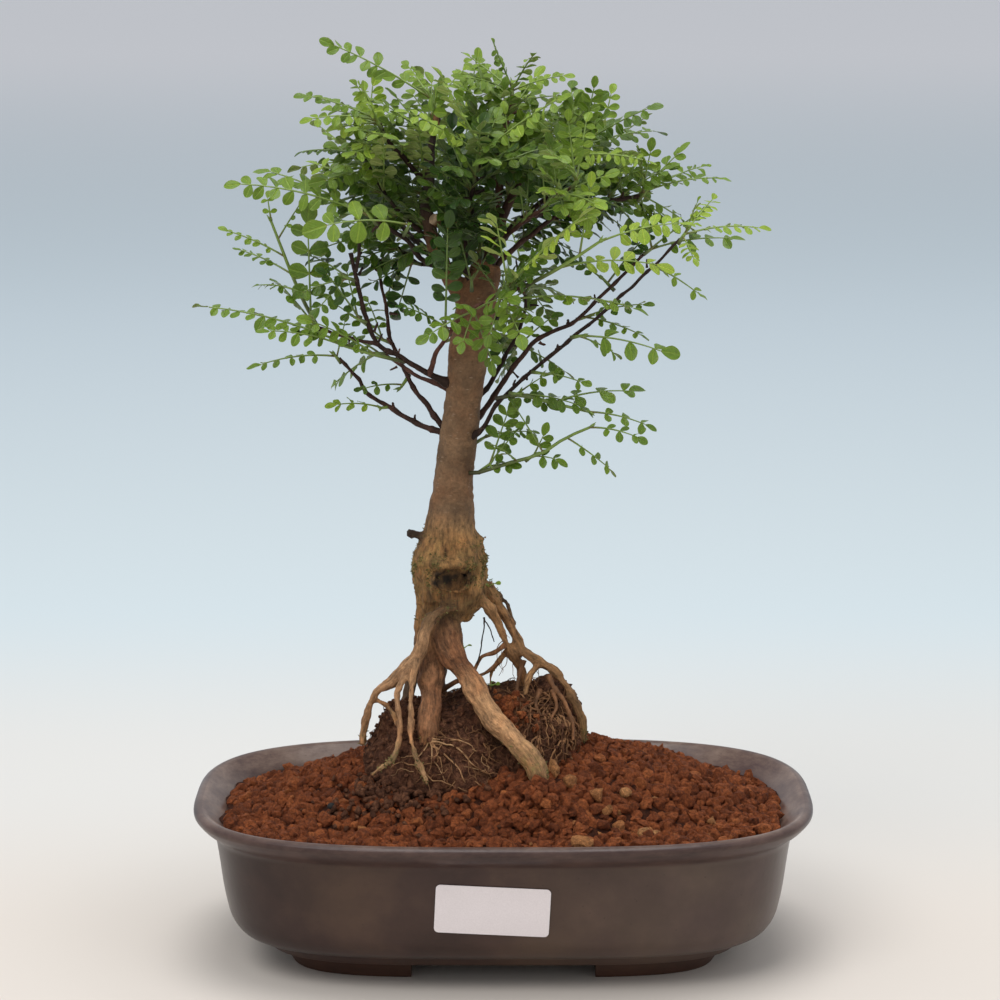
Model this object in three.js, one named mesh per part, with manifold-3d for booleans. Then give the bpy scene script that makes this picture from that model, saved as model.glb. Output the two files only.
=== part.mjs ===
// A pepper bonsai in an oval pot. Millimetres, +Z up, the front of the pot faces -Y.
// The origin is on the ground under the middle of the pot.
import * as THREE from "three";
import { mergeVertices } from "three/addons/utils/BufferGeometryUtils.js";
import Module from "manifold-3d";

const wasm = await Module();
wasm.setup();
const { Manifold, Mesh: SolidMesh } = wasm;

// Pot
const POT_LENGTH = 280;
const POT_DEPTH = 190;
const POT_HEIGHT = 72.5;
const PLAN_POWER = 3.1;
const PLAN_TIGHTEN = 0.022;
const PLAN_SIDES = 26;
const FOOT_HEIGHT = 8.5;
const FOOT_INSET = 38;
const FOOT_TAPER = 6;
const FOOT_WIDTH = 19;
const FOOT_GAP = [82, 56];
const FLOOR_TOP = 17;
const DRAIN_OFFSET = 55;
const DRAIN_RADIUS = 9;
const DRAIN_SIDES = 12;

// Pieces that touch keep this far apart
const GAP = 0.3;

// Outside and inside of the pot's wall, each row is the inset from the lip's plan and the height
const POT_OUTSIDE = [
  [38, FOOT_HEIGHT], [33.5, 9], [30, 13.5], [24.5, 15], [20, 17.5], [16, 23], [13.4, 34], [11, 52],
  [9.5, 61], [3.5, 65], [0, 69], [0, 71], [2.5, POT_HEIGHT],
];
const POT_INSIDE = [[5, 72], [16.5, 63.5], [20, 52], [23, 32], [33, FLOOR_TOP]];

// Soil, heaped towards the plant
const SOIL_EDGE = 66;
const SOIL_SLOPE = -0.02;
const SOIL_RISE = 30;
const SOIL_PEAK = [2, 4];
const SOIL_REACH = [120, 74];
const SOIL_CELL = 13;
const SOIL_SHAPE = 2;
const SOIL_SWELL = { middle: [16, -48], height: 7, reach: [26, 15] };
const GRAIN = 1.5;

// Old root ball, its plan is a turned ellipse
const BALL_CENTRE = [-14, -6];
const BALL_HALF = [51, 40];
const BALL_TURN = 0.36;
const BALL_TILT = 0.14;
const BALL_SIDES = 14;
const BALL_LUMP = 0.07;
const BALL_RAGGED = 3.4;
const BALL_ROWS = [[0.8, 40], [1, 66], [0.98, 88], [0.9, 101], [0.76, 110], [0.5, 115], [0.22, 117]];
// Hump and hollow of its top, each with its place, its height and its reach along x and y
const BALL_SWELLS = [[27, 2, 11, 14, 16], [-1, -36, -9, 15, 11]];

// Label on the front wall, left bare
const LABEL_SIZE = [50, 22.6];
const LABEL_CENTRE = [-4.8, 41];
const LABEL_TILT = -0.05;
const LABEL_THICKNESS = 0.5;
const LABEL_CORNER = 2;
const LABEL_LIFT = 0.6;

// Drain meshes
const DRAIN_MESH = { side: 26, thickness: 1.2, holes: 2, pitch: 8, hole: 5 };

// Dark hole in the swollen collar
const HOLLOW_HALF = [4.2, 6, 4.5];
const HOLLOW_CENTRE = [-22, -16.5, 170];

// Woody limbs: radius at the first and last point, or one for each point, then the route
const LIMBS = {
  trunk: {
    sides: 10,
    steps: 14,
    radii: [11, 15.5, 16.8, 16.6, 14.6, 11.6, 9.9, 8.9, 8.8, 8.3, 9.1, 9.2, 8.8, 8, 6.4],
    route: [
      [-25, 0, 154], [-24, 0, 163], [-24, 0, 171], [-24, 0, 179], [-24, 0, 187], [-24, 0, 194],
      [-23, 0, 205], [-22, 0, 221], [-20, 0, 235], [-18, 0, 252], [-16, 0, 267], [-15, 0, 279],
      [-12, 1, 294], [-10, 1, 303], [-7, 2, 314],
    ],
  },
  stub_left: { sides: 5, radii: [4, 2.6], route: [[-30, -2, 186], [-37, -4, 191], [-43, -6, 193]] },
  stub_right: { sides: 5, radii: [1.6, 0.7], route: [[-16, 0, 186], [-12, 0, 188], [-8, 0, 190]] },
  root_front_left: {
    sides: 6,
    radii: [2.4, 2.7, 3.1, 2.9, 3.6, 3.3, 2.6, 2.2, 2, 1.8, 1.7, 1.6],
    route: [
      [-20.8, -14, 160.4], [-27, -17, 160.6], [-33.2, -19, 154.7], [-35.4, -20, 148.5],
      [-36.8, -20, 142.1], [-43.1, -20, 133.8], [-50.3, -20, 127.4], [-56.4, -19, 123.4],
      [-59, -18, 118.1], [-60.8, -18, 112.5], [-62.7, -18, 106.1], [-63.6, -18, 98.2],
    ],
  },
  root_front_left_inner: {
    sides: 5,
    radii: [2.4, 2, 1.7, 1.5, 1.5, 1.4, 1.4, 1.3, 1.2, 1.1],
    route: [
      [-37.3, -20, 141.6], [-41.2, -23, 135.4], [-45.2, -26, 129.7], [-46.9, -29, 124.5],
      [-46.9, -31, 120.9], [-45.9, -37, 111], [-46.7, -40, 104.5], [-48.4, -43, 99.3],
      [-53.2, -45, 95.3], [-58.5, -46, 91.5],
    ],
  },
  root_front_left_leg: {
    sides: 5,
    radii: [2.2, 1.8, 1.5, 1.5, 1.5, 1.4, 1.3, 1.2, 1.1],
    route: [
      [-38.6, -22, 138.4], [-39.9, -25, 133.2], [-40.7, -29, 127.7], [-40.8, -33, 121.4],
      [-41, -36, 114.9], [-40.9, -40, 107.7], [-39.1, -44, 101.4], [-35.5, -47, 93.6],
      [-33.3, -48, 87.9],
    ],
  },
  root_loop: {
    sides: 5,
    radii: [1.4, 1.2],
    route: [
      [-56.2, -19, 118.8], [-51.6, -24, 117.8], [-48.3, -29, 114.4], [-45.9, -36, 109.8],
    ],
  },
  root_left: {
    sides: 6,
    radii: [7, 6.5, 5.8, 5.1, 4.8, 4.4, 3.8],
    route: [
      [-30.5, -1, 169], [-32.6, -3, 156.1], [-33.6, -8, 139.7], [-32.5, -17, 125.7],
      [-32.8, -27, 115.8], [-33.5, -33, 108], [-34.5, -33, 99],
    ],
  },
  root_middle: {
    sides: 6,
    radii: [6.5, 6.2, 5.6, 5.4, 5.2, 5, 4.9, 4.8, 4.7, 4.6, 4.3, 3.6],
    route: [
      [-25.8, -8, 154.5], [-24.9, -12, 145.3], [-22.1, -16, 138.8], [-17.2, -20, 132],
      [-13.1, -24, 126], [-9.5, -28, 120.2], [-4.6, -33, 114.1], [1.6, -38, 109],
      [6.9, -43, 103.9], [11.7, -47, 99.5], [15.4, -49, 93.6], [17.6, -49, 85],
    ],
  },
  root_right: {
    sides: 5,
    radii: [2.6, 2.1, 2.1, 2.1, 2.3, 2.2, 2.4, 2],
    route: [
      [-14.1, -6, 167.9], [-7.4, -6, 159.6], [-3.3, -5, 152.9], [-0.4, -4, 146.6],
      [1.7, -3, 140.9], [4.8, -1, 135.3], [7.6, 1, 129.2], [9.4, 3, 121.3], [9.9, 3, 113.8],
    ],
  },
  root_far_right: {
    sides: 5,
    radii: [3.2, 2.7, 2.5, 2.5, 2.6, 2.4, 2.3, 2.2, 2.2, 2.1, 2.1, 2, 1.8],
    route: [
      [-7.8, 3, 166.8], [-2, 3, 157.6], [1.7, 3, 151.5], [4.4, 2, 146.2], [7.6, 0, 140.2],
      [10.7, -2, 136.9], [16.6, -4, 133.2], [22, -5, 129.7], [26.6, -5, 125.1],
      [30.2, -5, 118.6], [33.4, -5, 112], [35.7, -5, 105.5], [36.2, -5, 96.1],
    ],
  },
  root_back_right: {
    sides: 5,
    radii: [1.9, 1.6],
    route: [
      [-8.8, 6, 165.3], [-2.9, 9, 160.9], [1.7, 10, 157.4], [3.5, 9, 152.5], [4, 5, 146.9],
    ],
  },
  root_right_fork: {
    sides: 5,
    radii: [1.7, 1.4],
    route: [
      [15.7, -5, 132.5], [12.5, -6, 128.1], [10.7, -8, 124], [9.8, -10, 118.9],
    ],
  },
  root_thin: {
    sides: 5,
    radii: [1.2, 1.1],
    route: [
      [1.2, -1, 139], [-1.5, 0, 133.2], [-5.6, 0, 128.1], [-6, -1, 122.2], [-5.6, -2, 114.1],
    ],
  },
  root_back: {
    sides: 6,
    radii: [4.6, 3.2],
    route: [
      [-27, 8, 160], [-28, 16, 145], [-29, 22, 128], [-30, 25, 108],
    ],
  },
  root_back_left: {
    sides: 5,
    radii: [4.4, 2.6],
    route: [
      [-29, 8, 160], [-35, 16, 142], [-41, 22, 124], [-45, 24, 104],
    ],
  },

  low_left: {
    sides: 4,
    radii: [2.4, 1.1],
    route: [
      [-24, 0, 237], [-38, 4, 241], [-51, 8, 248], [-61, 11, 254], [-66, 13, 261], [-74, 16, 269],
    ],
  },
  low_left_up: {
    sides: 4,
    radii: [2.2, 1],
    route: [
      [-25, 3, 236], [-33, 6, 248], [-40, 9, 256], [-45, 12, 265], [-51, 16, 278], [-53, 20, 290],
      [-55, 22, 301], [-58, 26, 314],
    ],
  },
  left: {
    sides: 4,
    radii: [4, 2.6, 2, 1.9, 1.8, 1.8, 1.7, 1.5],
    route: [
      [-20, 0, 258], [-30, -4, 263], [-37, -6, 267], [-46, -8, 273], [-56, -10, 280], [-61, -12, 292],
      [-64, -13, 305], [-67, -15, 320],
    ],
  },
  left_fork: { sides: 4, radii: [1.3, 1.1], route: [[-65, -14, 312], [-63, -16, 321], [-63, -18, 329]] },
  left_side: { sides: 4, radii: [1.4, 1.1], route: [[-55, -10, 279], [-70, -7, 282], [-83, -4, 286]] },
  left_under: { sides: 4, radii: [2, 1.2], route: [[-24, 2, 257], [-38, 7, 262], [-54, 16, 271]] },
  front: {
    sides: 4,
    radii: [1.8, 1.7, 1.5, 1.4, 1.3, 1.2],
    route: [
      [-33, -5, 265], [-29, -12, 277], [-23, -17, 286], [-16, -22, 294], [-4, -28, 302], [10, -34, 308],
    ],
  },
  leader_left: {
    sides: 6,
    radii: [6, 4.6, 3.8, 3.4, 3, 2.4, 2.1, 1.8],
    route: [
      [-13, 1, 294], [-22, 2, 305], [-28, 3, 315], [-32, 3, 326], [-34, 3, 338], [-33, 4, 350],
      [-32, 5, 365], [-29, 6, 380],
    ],
  },
  leader_left_fork: {
    sides: 4,
    radii: [2, 1.3],
    route: [
      [-33, 3, 348], [-44, -2, 360], [-50, -5, 367], [-54, -8, 376],
    ],
  },
  leader_left_outer: {
    sides: 4,
    radii: [2, 1.1],
    route: [
      [-32, 3, 322], [-38, 2, 329], [-47, 0, 337], [-54, -1, 348], [-61, -1, 360],
    ],
  },
  leader_left_low: {
    sides: 4,
    radii: [2.2, 1.4],
    route: [
      [-27, 2, 311], [-35, -5, 316], [-41, -8, 323], [-47, -11, 329], [-56, -14, 334],
    ],
  },
  leader_left_rear: {
    sides: 4,
    radii: [1.8, 1.2],
    route: [
      [-28, 4, 314], [-38, 13, 312], [-44, 18, 316], [-51, 22, 322],
    ],
  },
  inner: {
    sides: 4,
    radii: [2.4, 1.3],
    route: [
      [-12, 0, 302], [-17, -5, 313], [-14, -8, 325], [-14, -12, 342], [-12, -15, 352], [-10, -18, 362],
    ],
  },
  inner_fork: {
    sides: 4,
    radii: [1.5, 1],
    route: [
      [-16, -6, 317], [-18, 2, 332], [-23, 8, 345], [-25, 14, 354],
    ],
  },
  inner_side: { sides: 4, radii: [1.3, 1], route: [[-13, -14, 350], [-8, -12, 353], [3, -6, 350]] },
  leader_right: {
    sides: 4,
    radii: [5, 1.6],
    route: [
      [-8, 2, 310], [-3, 4, 326], [2, 6, 339], [8, 10, 349], [18, 14, 356], [32, 20, 361],
    ],
  },
  leader_middle: {
    sides: 4,
    radii: [3.4, 1.5],
    route: [
      [-4, 4, 323], [-2, 8, 341], [-3, 12, 356], [1, 15, 372], [4, 16, 387],
    ],
  },
  leader_far_right: {
    sides: 4,
    radii: [2.8, 1.4],
    route: [
      [-4, 4, 324], [16, 14, 334], [43, 18, 339], [61, 16, 342],
    ],
  },
  right_rear: {
    sides: 4,
    radii: [3, 1.2],
    route: [
      [-8, 2, 305], [-2, 8, 313], [6, 16, 320], [19, 24, 329], [32, 30, 339],
    ],
  },
  right: {
    sides: 4,
    radii: [2.6, 1.8, 1.6, 1.5, 1.5, 1.4, 1.3, 1.2, 1],
    route: [
      [-15, -4, 236], [-9, -8, 241], [-3, -11, 252], [8, -12, 263], [22, -14, 275], [37, -16, 288],
      [44, -17, 294], [59, -19, 308], [77, -22, 327],
    ],
  },
  right_second: {
    sides: 4,
    radii: [2.4, 1.1],
    route: [
      [-16, 4, 239], [-8, 8, 247], [2, 12, 262], [16, 16, 278], [31, 18, 285], [50, 22, 302],
      [64, 22, 316],
    ],
  },
  right_inner: {
    sides: 4,
    radii: [2, 1.1],
    route: [
      [-15, 6, 248], [-4, 12, 261], [2, 15, 272], [9, 20, 287], [10, 22, 298],
    ],
  },
  rear_left: {
    sides: 4,
    radii: [3, 1.2],
    route: [
      [-26, 3, 312], [-40, 26, 322], [-54, 44, 336], [-62, 56, 350],
    ],
  },
  rear: {
    sides: 4,
    radii: [3.4, 1.2],
    route: [
      [-8, 2, 308], [-10, 24, 322], [-16, 44, 340], [-20, 58, 360],
    ],
  },
  rear_right: {
    sides: 4,
    radii: [3, 1.2],
    route: [
      [-4, 4, 322], [12, 26, 334], [28, 44, 346], [42, 56, 356],
    ],
  },
  rear_low: {
    sides: 4,
    radii: [2.6, 1.1],
    route: [
      [-16, 2, 270], [-10, 22, 278], [2, 42, 292], [8, 58, 306],
    ],
  },
  front_right: {
    sides: 4,
    radii: [2, 1.1],
    route: [
      [-5, 3, 318], [4, -16, 330], [18, -32, 342], [30, -42, 352],
    ],
  },
};

// Leafy shoots that show singly: a green stem and the tips of its fronds
const SHOOTS = {
  left_low: {
    stem: [[-45, -7, 271], [-58, -13, 275], [-70, -16, 279]],
    tips: [[-107, -26, 287, -2], [-135, -18, 297, -0.3], [-87, -30, 293, -1]],
  },
  left_arch: { stem: [[-74, 16, 268], [-76, 14, 271]], tips: [[-113, 6, 266, -0.4], [-71, 24, 287]] },
  left_round: { stem: [[-83, -5, 286], [-86, -8, 290]], tips: [[-86, -12, 339], [-100, -18, 309]] },
  left_rise: {
    stem: [[-82, -3, 285], [-89, 2, 297], [-95, 3, 311], [-99, 2, 322], [-103, 4, 332]],
    tips: [
      [-105, 6, 345, -0.4], [-88, 4, 343, -0.4], [-125, 0, 329, -0.4], [-120, 12, 319, -0.4],
      [-112, 14, 302, -0.4],
    ],
  },
  left_wide: { stem: [[-56, -14, 333], [-60, -15, 338]], tips: [[-120, -22, 351, -2], [-108, -2, 356]] },
  left_front: { stem: [[-44, -10, 327], [-42, -20, 331], [-41, -30, 334]], tips: [[-83, -42, 333, -3]] },
  left_olive: { stem: [[-51, 21, 321], [-54, 12, 325]], tips: [[-84, -4, 319, -1.5], [-78, 34, 330]] },
  left_blue: { stem: [[-61, -1, 359], [-63, 2, 362]], tips: [[-92, 8, 362, -0.2], [-60, 24, 380]] },
  left_top: {
    stem: [[-54, -8, 375], [-56, -9, 379]],
    tips: [[-90, -12, 389], [-87, -22, 378], [-66, 6, 394]],
  },
  top_left: { stem: [[-29, 6, 379], [-33, 4, 389]], tips: [[-79, 0, 413], [-44, 24, 402], [-16, 22, 400]] },
  top_front: {
    stem: [[-10, -18, 361], [-9, -21, 366]],
    tips: [[-28, -44, 401], [27, -46, 391], [-44, -32, 384]],
  },
  top: {
    stem: [[4, 16, 386], [4, 18, 391]],
    tips: [[-5, 6, 411], [14, -6, 407], [30, 12, 396], [-18, 30, 405], [-20, -8, 396]],
  },
  right_top: {
    stem: [[32, 20, 360], [36, 20, 367]],
    tips: [[41, 12, 394], [68, 8, 383], [30, 40, 392], [72, 30, 370]],
  },
  right_thin: { stem: [[19, 14, 356], [24, 6, 360]], tips: [[66, -10, 359], [21, -16, 379]] },
  right_far: {
    stem: [[61, 16, 341], [65, 14, 346]],
    tips: [[99, 4, 351, -0.2], [92, 28, 355], [60, -4, 366]],
  },
  right_tip: {
    stem: [[77, -22, 326], [80, -24, 331]],
    tips: [[84, -38, 346], [116, -22, 331, -0.3], [94, -2, 344], [83, -40, 318]],
  },
  right_hang: { stem: [[66, -20, 315], [70, -21, 313]], tips: [[88, -24, 301]] },
  front_light: { stem: [[2, -31, 305], [2, -36, 309]], tips: [[36, -72, 344], [-4, -60, 343]] },
  front_right: {
    stem: [[10, -34, 308], [25, -41, 317], [41, -45, 328]],
    tips: [[80, -52, 337], [38, -44, 356], [72, -38, 316]],
  },
  front_low: { stem: [[1, -31, 304], [5, -34, 301]], tips: [[62, -38, 297, 0]] },
  right_olive: { stem: [[49, 22, 300], [45, 24, 304]], tips: [[27, 30, 315], [68, 36, 326]] },
  right_round: { stem: [[31, -16, 283], [35, -18, 284]], tips: [[76, -24, 275, -1.6], [52, -2, 272]] },
  right_short: { stem: [[13, -13, 267], [17, -17, 267]], tips: [[38, -21, 262, -1.8]] },
  right_low: {
    stem: [[-2, -11, 255], [7, -15, 257], [25, -17, 253], [38, -18, 250]],
    tips: [[67, -22, 243, -1.2], [62, -8, 257]],
  },
  low_shoot: {
    stem: [[-16, -4, 220], [-11, -8, 221], [2, -13, 226], [17, -16, 231], [27, -18, 238], [38, -24, 244]],
    tips: [[62, -36, 240, -1.8], [50, -18, 222], [3, -14, 255], [-6, -30, 238]],
  },
  trunk_side: { stem: [[-12, 2, 233], [-8, 5, 235]], tips: [[16, 10, 236]] },
  left_small: { stem: [[-43, 11, 261], [-46, 7, 257]], tips: [[-66, 2, 256]] },
  left_pale: { stem: [[-52, 8, 248], [-55, 5, 248]], tips: [[-78, -2, 250]] },
  trunk_front: { stem: [[-24, -17, 285], [-26, -22, 290]], tips: [[-24, -32, 338], [-46, -38, 300]] },
};

// Sprays set by rule: the limb, how far along it, and how many fronds
const SPRAYS = [
  ["low_left_up", 0.55, 2], ["low_left_up", 1, 3], ["left", 0.62, 2], ["left_under", 1, 3],
  ["leader_left_outer", 0.55, 3], ["leader_left_rear", 1, 3], ["leader_left", 0.62, 3], ["inner_fork", 1, 3],
  ["inner_side", 1, 3], ["leader_middle", 0.5, 3], ["leader_right", 0.4, 3], ["leader_far_right", 0.55, 3],
  ["right_rear", 1, 3], ["right_second", 0.62, 2], ["right_second", 1, 3], ["right_inner", 1, 3],
  ["rear_left", 1, 3], ["rear", 1, 4], ["rear_right", 1, 4], ["rear_low", 1, 3], ["front_right", 1, 3],
];

// Fronds: a slim rib with paired leaflets and one at the tip
const BLADE = 0.8;
const RIB = 0.6;
const LONG_FROND = 54;
const STEM_RADII = [1.1, 0.8];
const BUD_RADIUS = 1.9;
const BUD_LENGTH = 5;
const FROND_ARCH = 0.07;
const LEAFLET_FOLD = 0.15;
const LEAFLET_REACH = [4, 6.6];
const UPRIGHT = 0.88;
const UPRIGHT_HINT = [0, -1, 0.2];
const GOLDEN_ANGLE = 2.39996;
const CLEARANCE = 5.4;
const CROWN_MIDDLE = [-5, 0, 300];
const CROWN_LIMIT = [136, 88, 416];
const SPRAY_LENGTH = 36;
const WOOD_CLEARANCE = 2.2;
const RIB_PLACES = [0.12, 0.3, 0.55, 0.8, 1];
const LEAFLET_PLACES = [0.35, 0.6, 0.85];
const FRONT_LEAN = -0.9;
const REAR_LEAN = 0.7;
const REAR = 30;

// How a spray opens: the pulls on its axis, the angle of its first frond from that axis, and how much the
// angle grows to the last, the upward pull on each frond, and the turn from one try to the next
const SPRAY = { tangent: 0.5, upward: 0.3, open: 0.35, spread: 0.9, rise: 0.15, tries: 14, turn: 0.9 };

const colours = {
  glaze: 0x4b3d39,
  soil: 0x6b3722,
  peat: 0x3a261b,
  bark: 0x7a6a5c,
  leaf: 0x4f8a2e,
  inner_leaf: 0x2f6a2c,
  label: 0xf0f1f4,
  mesh: 0x2c2c2c,
};

const vector = (p) => new THREE.Vector3(p[0], p[1], p[2]);

function randomFrom(seed) {
  let state = seed >>> 0;
  return () => {
    state = (Math.imul(state, 1664525) + 1013904223) >>> 0;
    return state / 4294967296;
  };
}

function toSolid(geometry) {
  const bare = geometry.clone();
  bare.deleteAttribute("normal");
  bare.deleteAttribute("uv");
  const merged = mergeVertices(bare, 1e-4);
  return new Manifold(new SolidMesh({
    numProp: 3,
    vertProperties: new Float32Array(merged.attributes.position.array),
    triVerts: new Uint32Array(merged.index.array),
  }));
}

function largestPiece(body) {
  const pieces = body.decompose();
  pieces.sort((a, b) => b.volume() - a.volume());
  return pieces[0];
}

// Closed skin through rings of points, all with the same number of points, from the first ring to the last
function skin(rings) {
  const sides = rings[0].length;
  const index = [];
  for (let r = 0; r + 1 < rings.length; r++) {
    for (let i = 0; i < sides; i++) {
      const a = r * sides + i;
      const b = r * sides + ((i + 1) % sides);
      index.push(a, b, b + sides, a, b + sides, a + sides);
    }
  }
  const last = (rings.length - 1) * sides;
  for (let i = 1; i + 1 < sides; i++) {
    index.push(0, i + 1, i);
    index.push(last, last + i, last + i + 1);
  }
  const geometry = new THREE.BufferGeometry();
  geometry.setAttribute("position", new THREE.Float32BufferAttribute(rings.flat(2), 3));
  geometry.setIndex(index);
  return toSolid(geometry);
}

function boxSolid(size, centre) {
  return toSolid(new THREE.BoxGeometry(...size).translate(...centre));
}

// The corners of the plan get tighter further in
const planPower = (inset) => PLAN_POWER + PLAN_TIGHTEN * inset;

function planRing(inset, z) {
  const power = 2 / planPower(inset);
  const half = [POT_LENGTH / 2 - inset, POT_DEPTH / 2 - inset];
  const ring = [];
  for (let i = 0; i < PLAN_SIDES; i++) {
    const angle = (2 * Math.PI * i) / PLAN_SIDES;
    const c = Math.cos(angle);
    const s = Math.sin(angle);
    ring.push([
      half[0] * Math.sign(c) * Math.abs(c) ** power,
      half[1] * Math.sign(s) * Math.abs(s) ** power,
      z,
    ]);
  }
  return ring;
}

function buildPot() {
  const wall = skin([...POT_OUTSIDE, ...POT_INSIDE].map(([inset, z]) => planRing(inset, z)));
  const sunk = 1;
  let feet = skin([planRing(FOOT_INSET + FOOT_TAPER, 0), planRing(FOOT_INSET, FOOT_HEIGHT + sunk)]);
  feet = feet.subtract(skin([
    planRing(FOOT_INSET + FOOT_WIDTH, -1),
    planRing(FOOT_INSET + FOOT_WIDTH, FOOT_HEIGHT + sunk + 1),
  ]));
  const high = 2 * FOOT_HEIGHT;
  feet = feet.subtract(boxSolid([FOOT_GAP[0], POT_DEPTH, high], [0, 0, 0]));
  feet = feet.subtract(boxSolid([POT_LENGTH, FOOT_GAP[1], high], [0, 0, 0]));
  let pot = wall.add(feet);
  for (const side of [-1, 1]) {
    const drain = new THREE.CylinderGeometry(DRAIN_RADIUS, DRAIN_RADIUS, 2 * FLOOR_TOP, DRAIN_SIDES);
    drain.rotateX(Math.PI / 2).translate(side * DRAIN_OFFSET, 0, FLOOR_TOP);
    pot = pot.subtract(toSolid(drain));
  }
  return pot;
}

function buildDrainMesh(side) {
  const { side: width, thickness, holes, pitch, hole } = DRAIN_MESH;
  const centre = [side * DRAIN_OFFSET, 0, FLOOR_TOP + GAP + thickness / 2];
  let plate = boxSolid([width, width, thickness], centre);
  const middle = (holes - 1) / 2;
  for (let i = 0; i < holes; i++) {
    for (let j = 0; j < holes; j++) {
      const place = [centre[0] + (i - middle) * pitch, centre[1] + (j - middle) * pitch, centre[2]];
      plate = plate.subtract(boxSolid([hole, hole, 2 * thickness], place));
    }
  }
  return plate;
}

const ballSwell = (x, y) => BALL_SWELLS.reduce((sum, [cx, cy, height, rx, ry]) => (
  sum + height * Math.exp(-(((x - cx) / rx) ** 2) - ((y - cy) / ry) ** 2)
), 0);

// Root ball, larger all round by grow
function buildBall(grow) {
  const random = randomFrom(11);
  const rings = BALL_ROWS.map(([scale, z], row) => {
    const ring = [];
    for (let i = 0; i < BALL_SIDES; i++) {
      const angle = (2 * Math.PI * i) / BALL_SIDES;
      const lump = 1 + BALL_LUMP * (2 * random() - 1);
      const x = (BALL_HALF[0] * scale * lump + grow) * Math.cos(angle);
      const y = (BALL_HALF[1] * scale * lump + grow) * Math.sin(angle);
      const lift = row > 1 ? BALL_RAGGED * (random() - 0.5) + BALL_TILT * x : 0;
      const px = BALL_CENTRE[0] + x * Math.cos(BALL_TURN) - y * Math.sin(BALL_TURN);
      const py = BALL_CENTRE[1] + x * Math.sin(BALL_TURN) + y * Math.cos(BALL_TURN);
      const swell = row > 1 ? ballSwell(px, py) : 0;
      ring.push([px, py, z + lift + swell + (row > 1 ? grow : -grow)]);
    }
    return ring;
  });
  return skin(rings);
}

function soilHeight(x, y) {
  const away = Math.hypot((x - SOIL_PEAK[0]) / SOIL_REACH[0], (y - SOIL_PEAK[1]) / SOIL_REACH[1]);
  const { middle, height, reach } = SOIL_SWELL;
  const swell = height * Math.exp(-(((x - middle[0]) / reach[0]) ** 2) - ((y - middle[1]) / reach[1]) ** 2);
  return SOIL_EDGE + SOIL_SLOPE * y + SOIL_RISE * (1 - Math.min(away, 1) ** SOIL_SHAPE) + swell;
}

function buildSoil(roots) {
  const bottom = FLOOR_TOP + GAP;
  const size = [POT_LENGTH - 24, POT_DEPTH - 24];
  const cells = size.map((s) => Math.round(s / SOIL_CELL));
  const block = new THREE.BoxGeometry(size[0], size[1], 1, cells[0], cells[1], 1);
  const at = block.attributes.position;
  const random = randomFrom(5);
  const bumps = Array.from({ length: (cells[0] + 1) * (cells[1] + 1) }, () => GRAIN * (2 * random() - 1));
  for (let i = 0; i < at.count; i++) {
    const column = Math.round((at.getX(i) / size[0] + 0.5) * cells[0]);
    const row = Math.round((at.getY(i) / size[1] + 0.5) * cells[1]);
    const bump = bumps[row * (cells[0] + 1) + column];
    const top = soilHeight(at.getX(i), at.getY(i)) + bump;
    at.setZ(i, at.getZ(i) > 0 ? top : 0);
  }
  const inside = [...POT_INSIDE].reverse().map(([inset, z]) => planRing(inset + GAP, Math.max(z, bottom)));
  const filling = skin([...inside, planRing(POT_INSIDE[0][0] + GAP, 100)]);
  let soil = toSolid(block).intersect(filling).subtract(buildBall(GAP));
  for (const side of [-1, 1]) {
    const width = DRAIN_MESH.side + 2 * GAP;
    const height = 2 * (DRAIN_MESH.thickness + 2 * GAP);
    soil = soil.subtract(boxSolid([width, width, height], [side * DRAIN_OFFSET, 0, FLOOR_TOP]));
  }
  return largestPiece(soil.subtract(roots));
}

function radiusAt(radii, t) {
  const place = t * (radii.length - 1);
  const low = Math.min(Math.floor(place), radii.length - 2);
  return THREE.MathUtils.lerp(radii[low], radii[low + 1], place - low);
}

const routeCurve = (route) => new THREE.CatmullRomCurve3(route.map(vector));

// Tapered tube along a route, larger all round by grow
function tube({ route, radii, sides, steps = Math.ceil(0.7 * (route.length - 1)) }, grow = 0) {
  const curve = routeCurve(route);
  const frames = curve.computeFrenetFrames(steps, false);
  const geometry = new THREE.CylinderGeometry(1, 1, 1, sides, steps);
  const at = geometry.attributes.position;
  for (let i = 0; i < at.count; i++) {
    const u = at.getY(i) + 0.5;
    const step = Math.round(u * steps);
    const radius = radiusAt(radii, curve.getUtoTmapping(u)) + grow;
    const end = step === 0 ? -grow : step === steps ? grow : 0;
    const point = curve.getPointAt(u)
      .addScaledVector(frames.normals[step], at.getX(i) * radius)
      .addScaledVector(frames.binormals[step], -at.getZ(i) * radius)
      .addScaledVector(frames.tangents[step], end);
    at.setXYZ(i, point.x, point.y, point.z);
  }
  return toSolid(geometry);
}

function buildTree(grow) {
  let tree = Manifold.union(Object.values(LIMBS).map((limb) => tube(limb, grow)));
  if (grow === 0) {
    const hollow = new THREE.IcosahedronGeometry(1, 1).scale(...HOLLOW_HALF).translate(...HOLLOW_CENTRE);
    tree = tree.subtract(toSolid(hollow));
  }
  return tree;
}

// Directions of a frond: along its chord, sideways, and up from its face, which leans by the given amount
function frondFrame(base, tip, lean) {
  const along = tip.clone().sub(base);
  const length = along.length();
  along.divideScalar(length);
  const hint = Math.abs(along.z) > UPRIGHT ? vector(UPRIGHT_HINT) : new THREE.Vector3(0, lean, 1);
  const side = hint.cross(along).normalize();
  const up = along.clone().cross(side);
  return { base, length, along, side, up };
}

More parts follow.
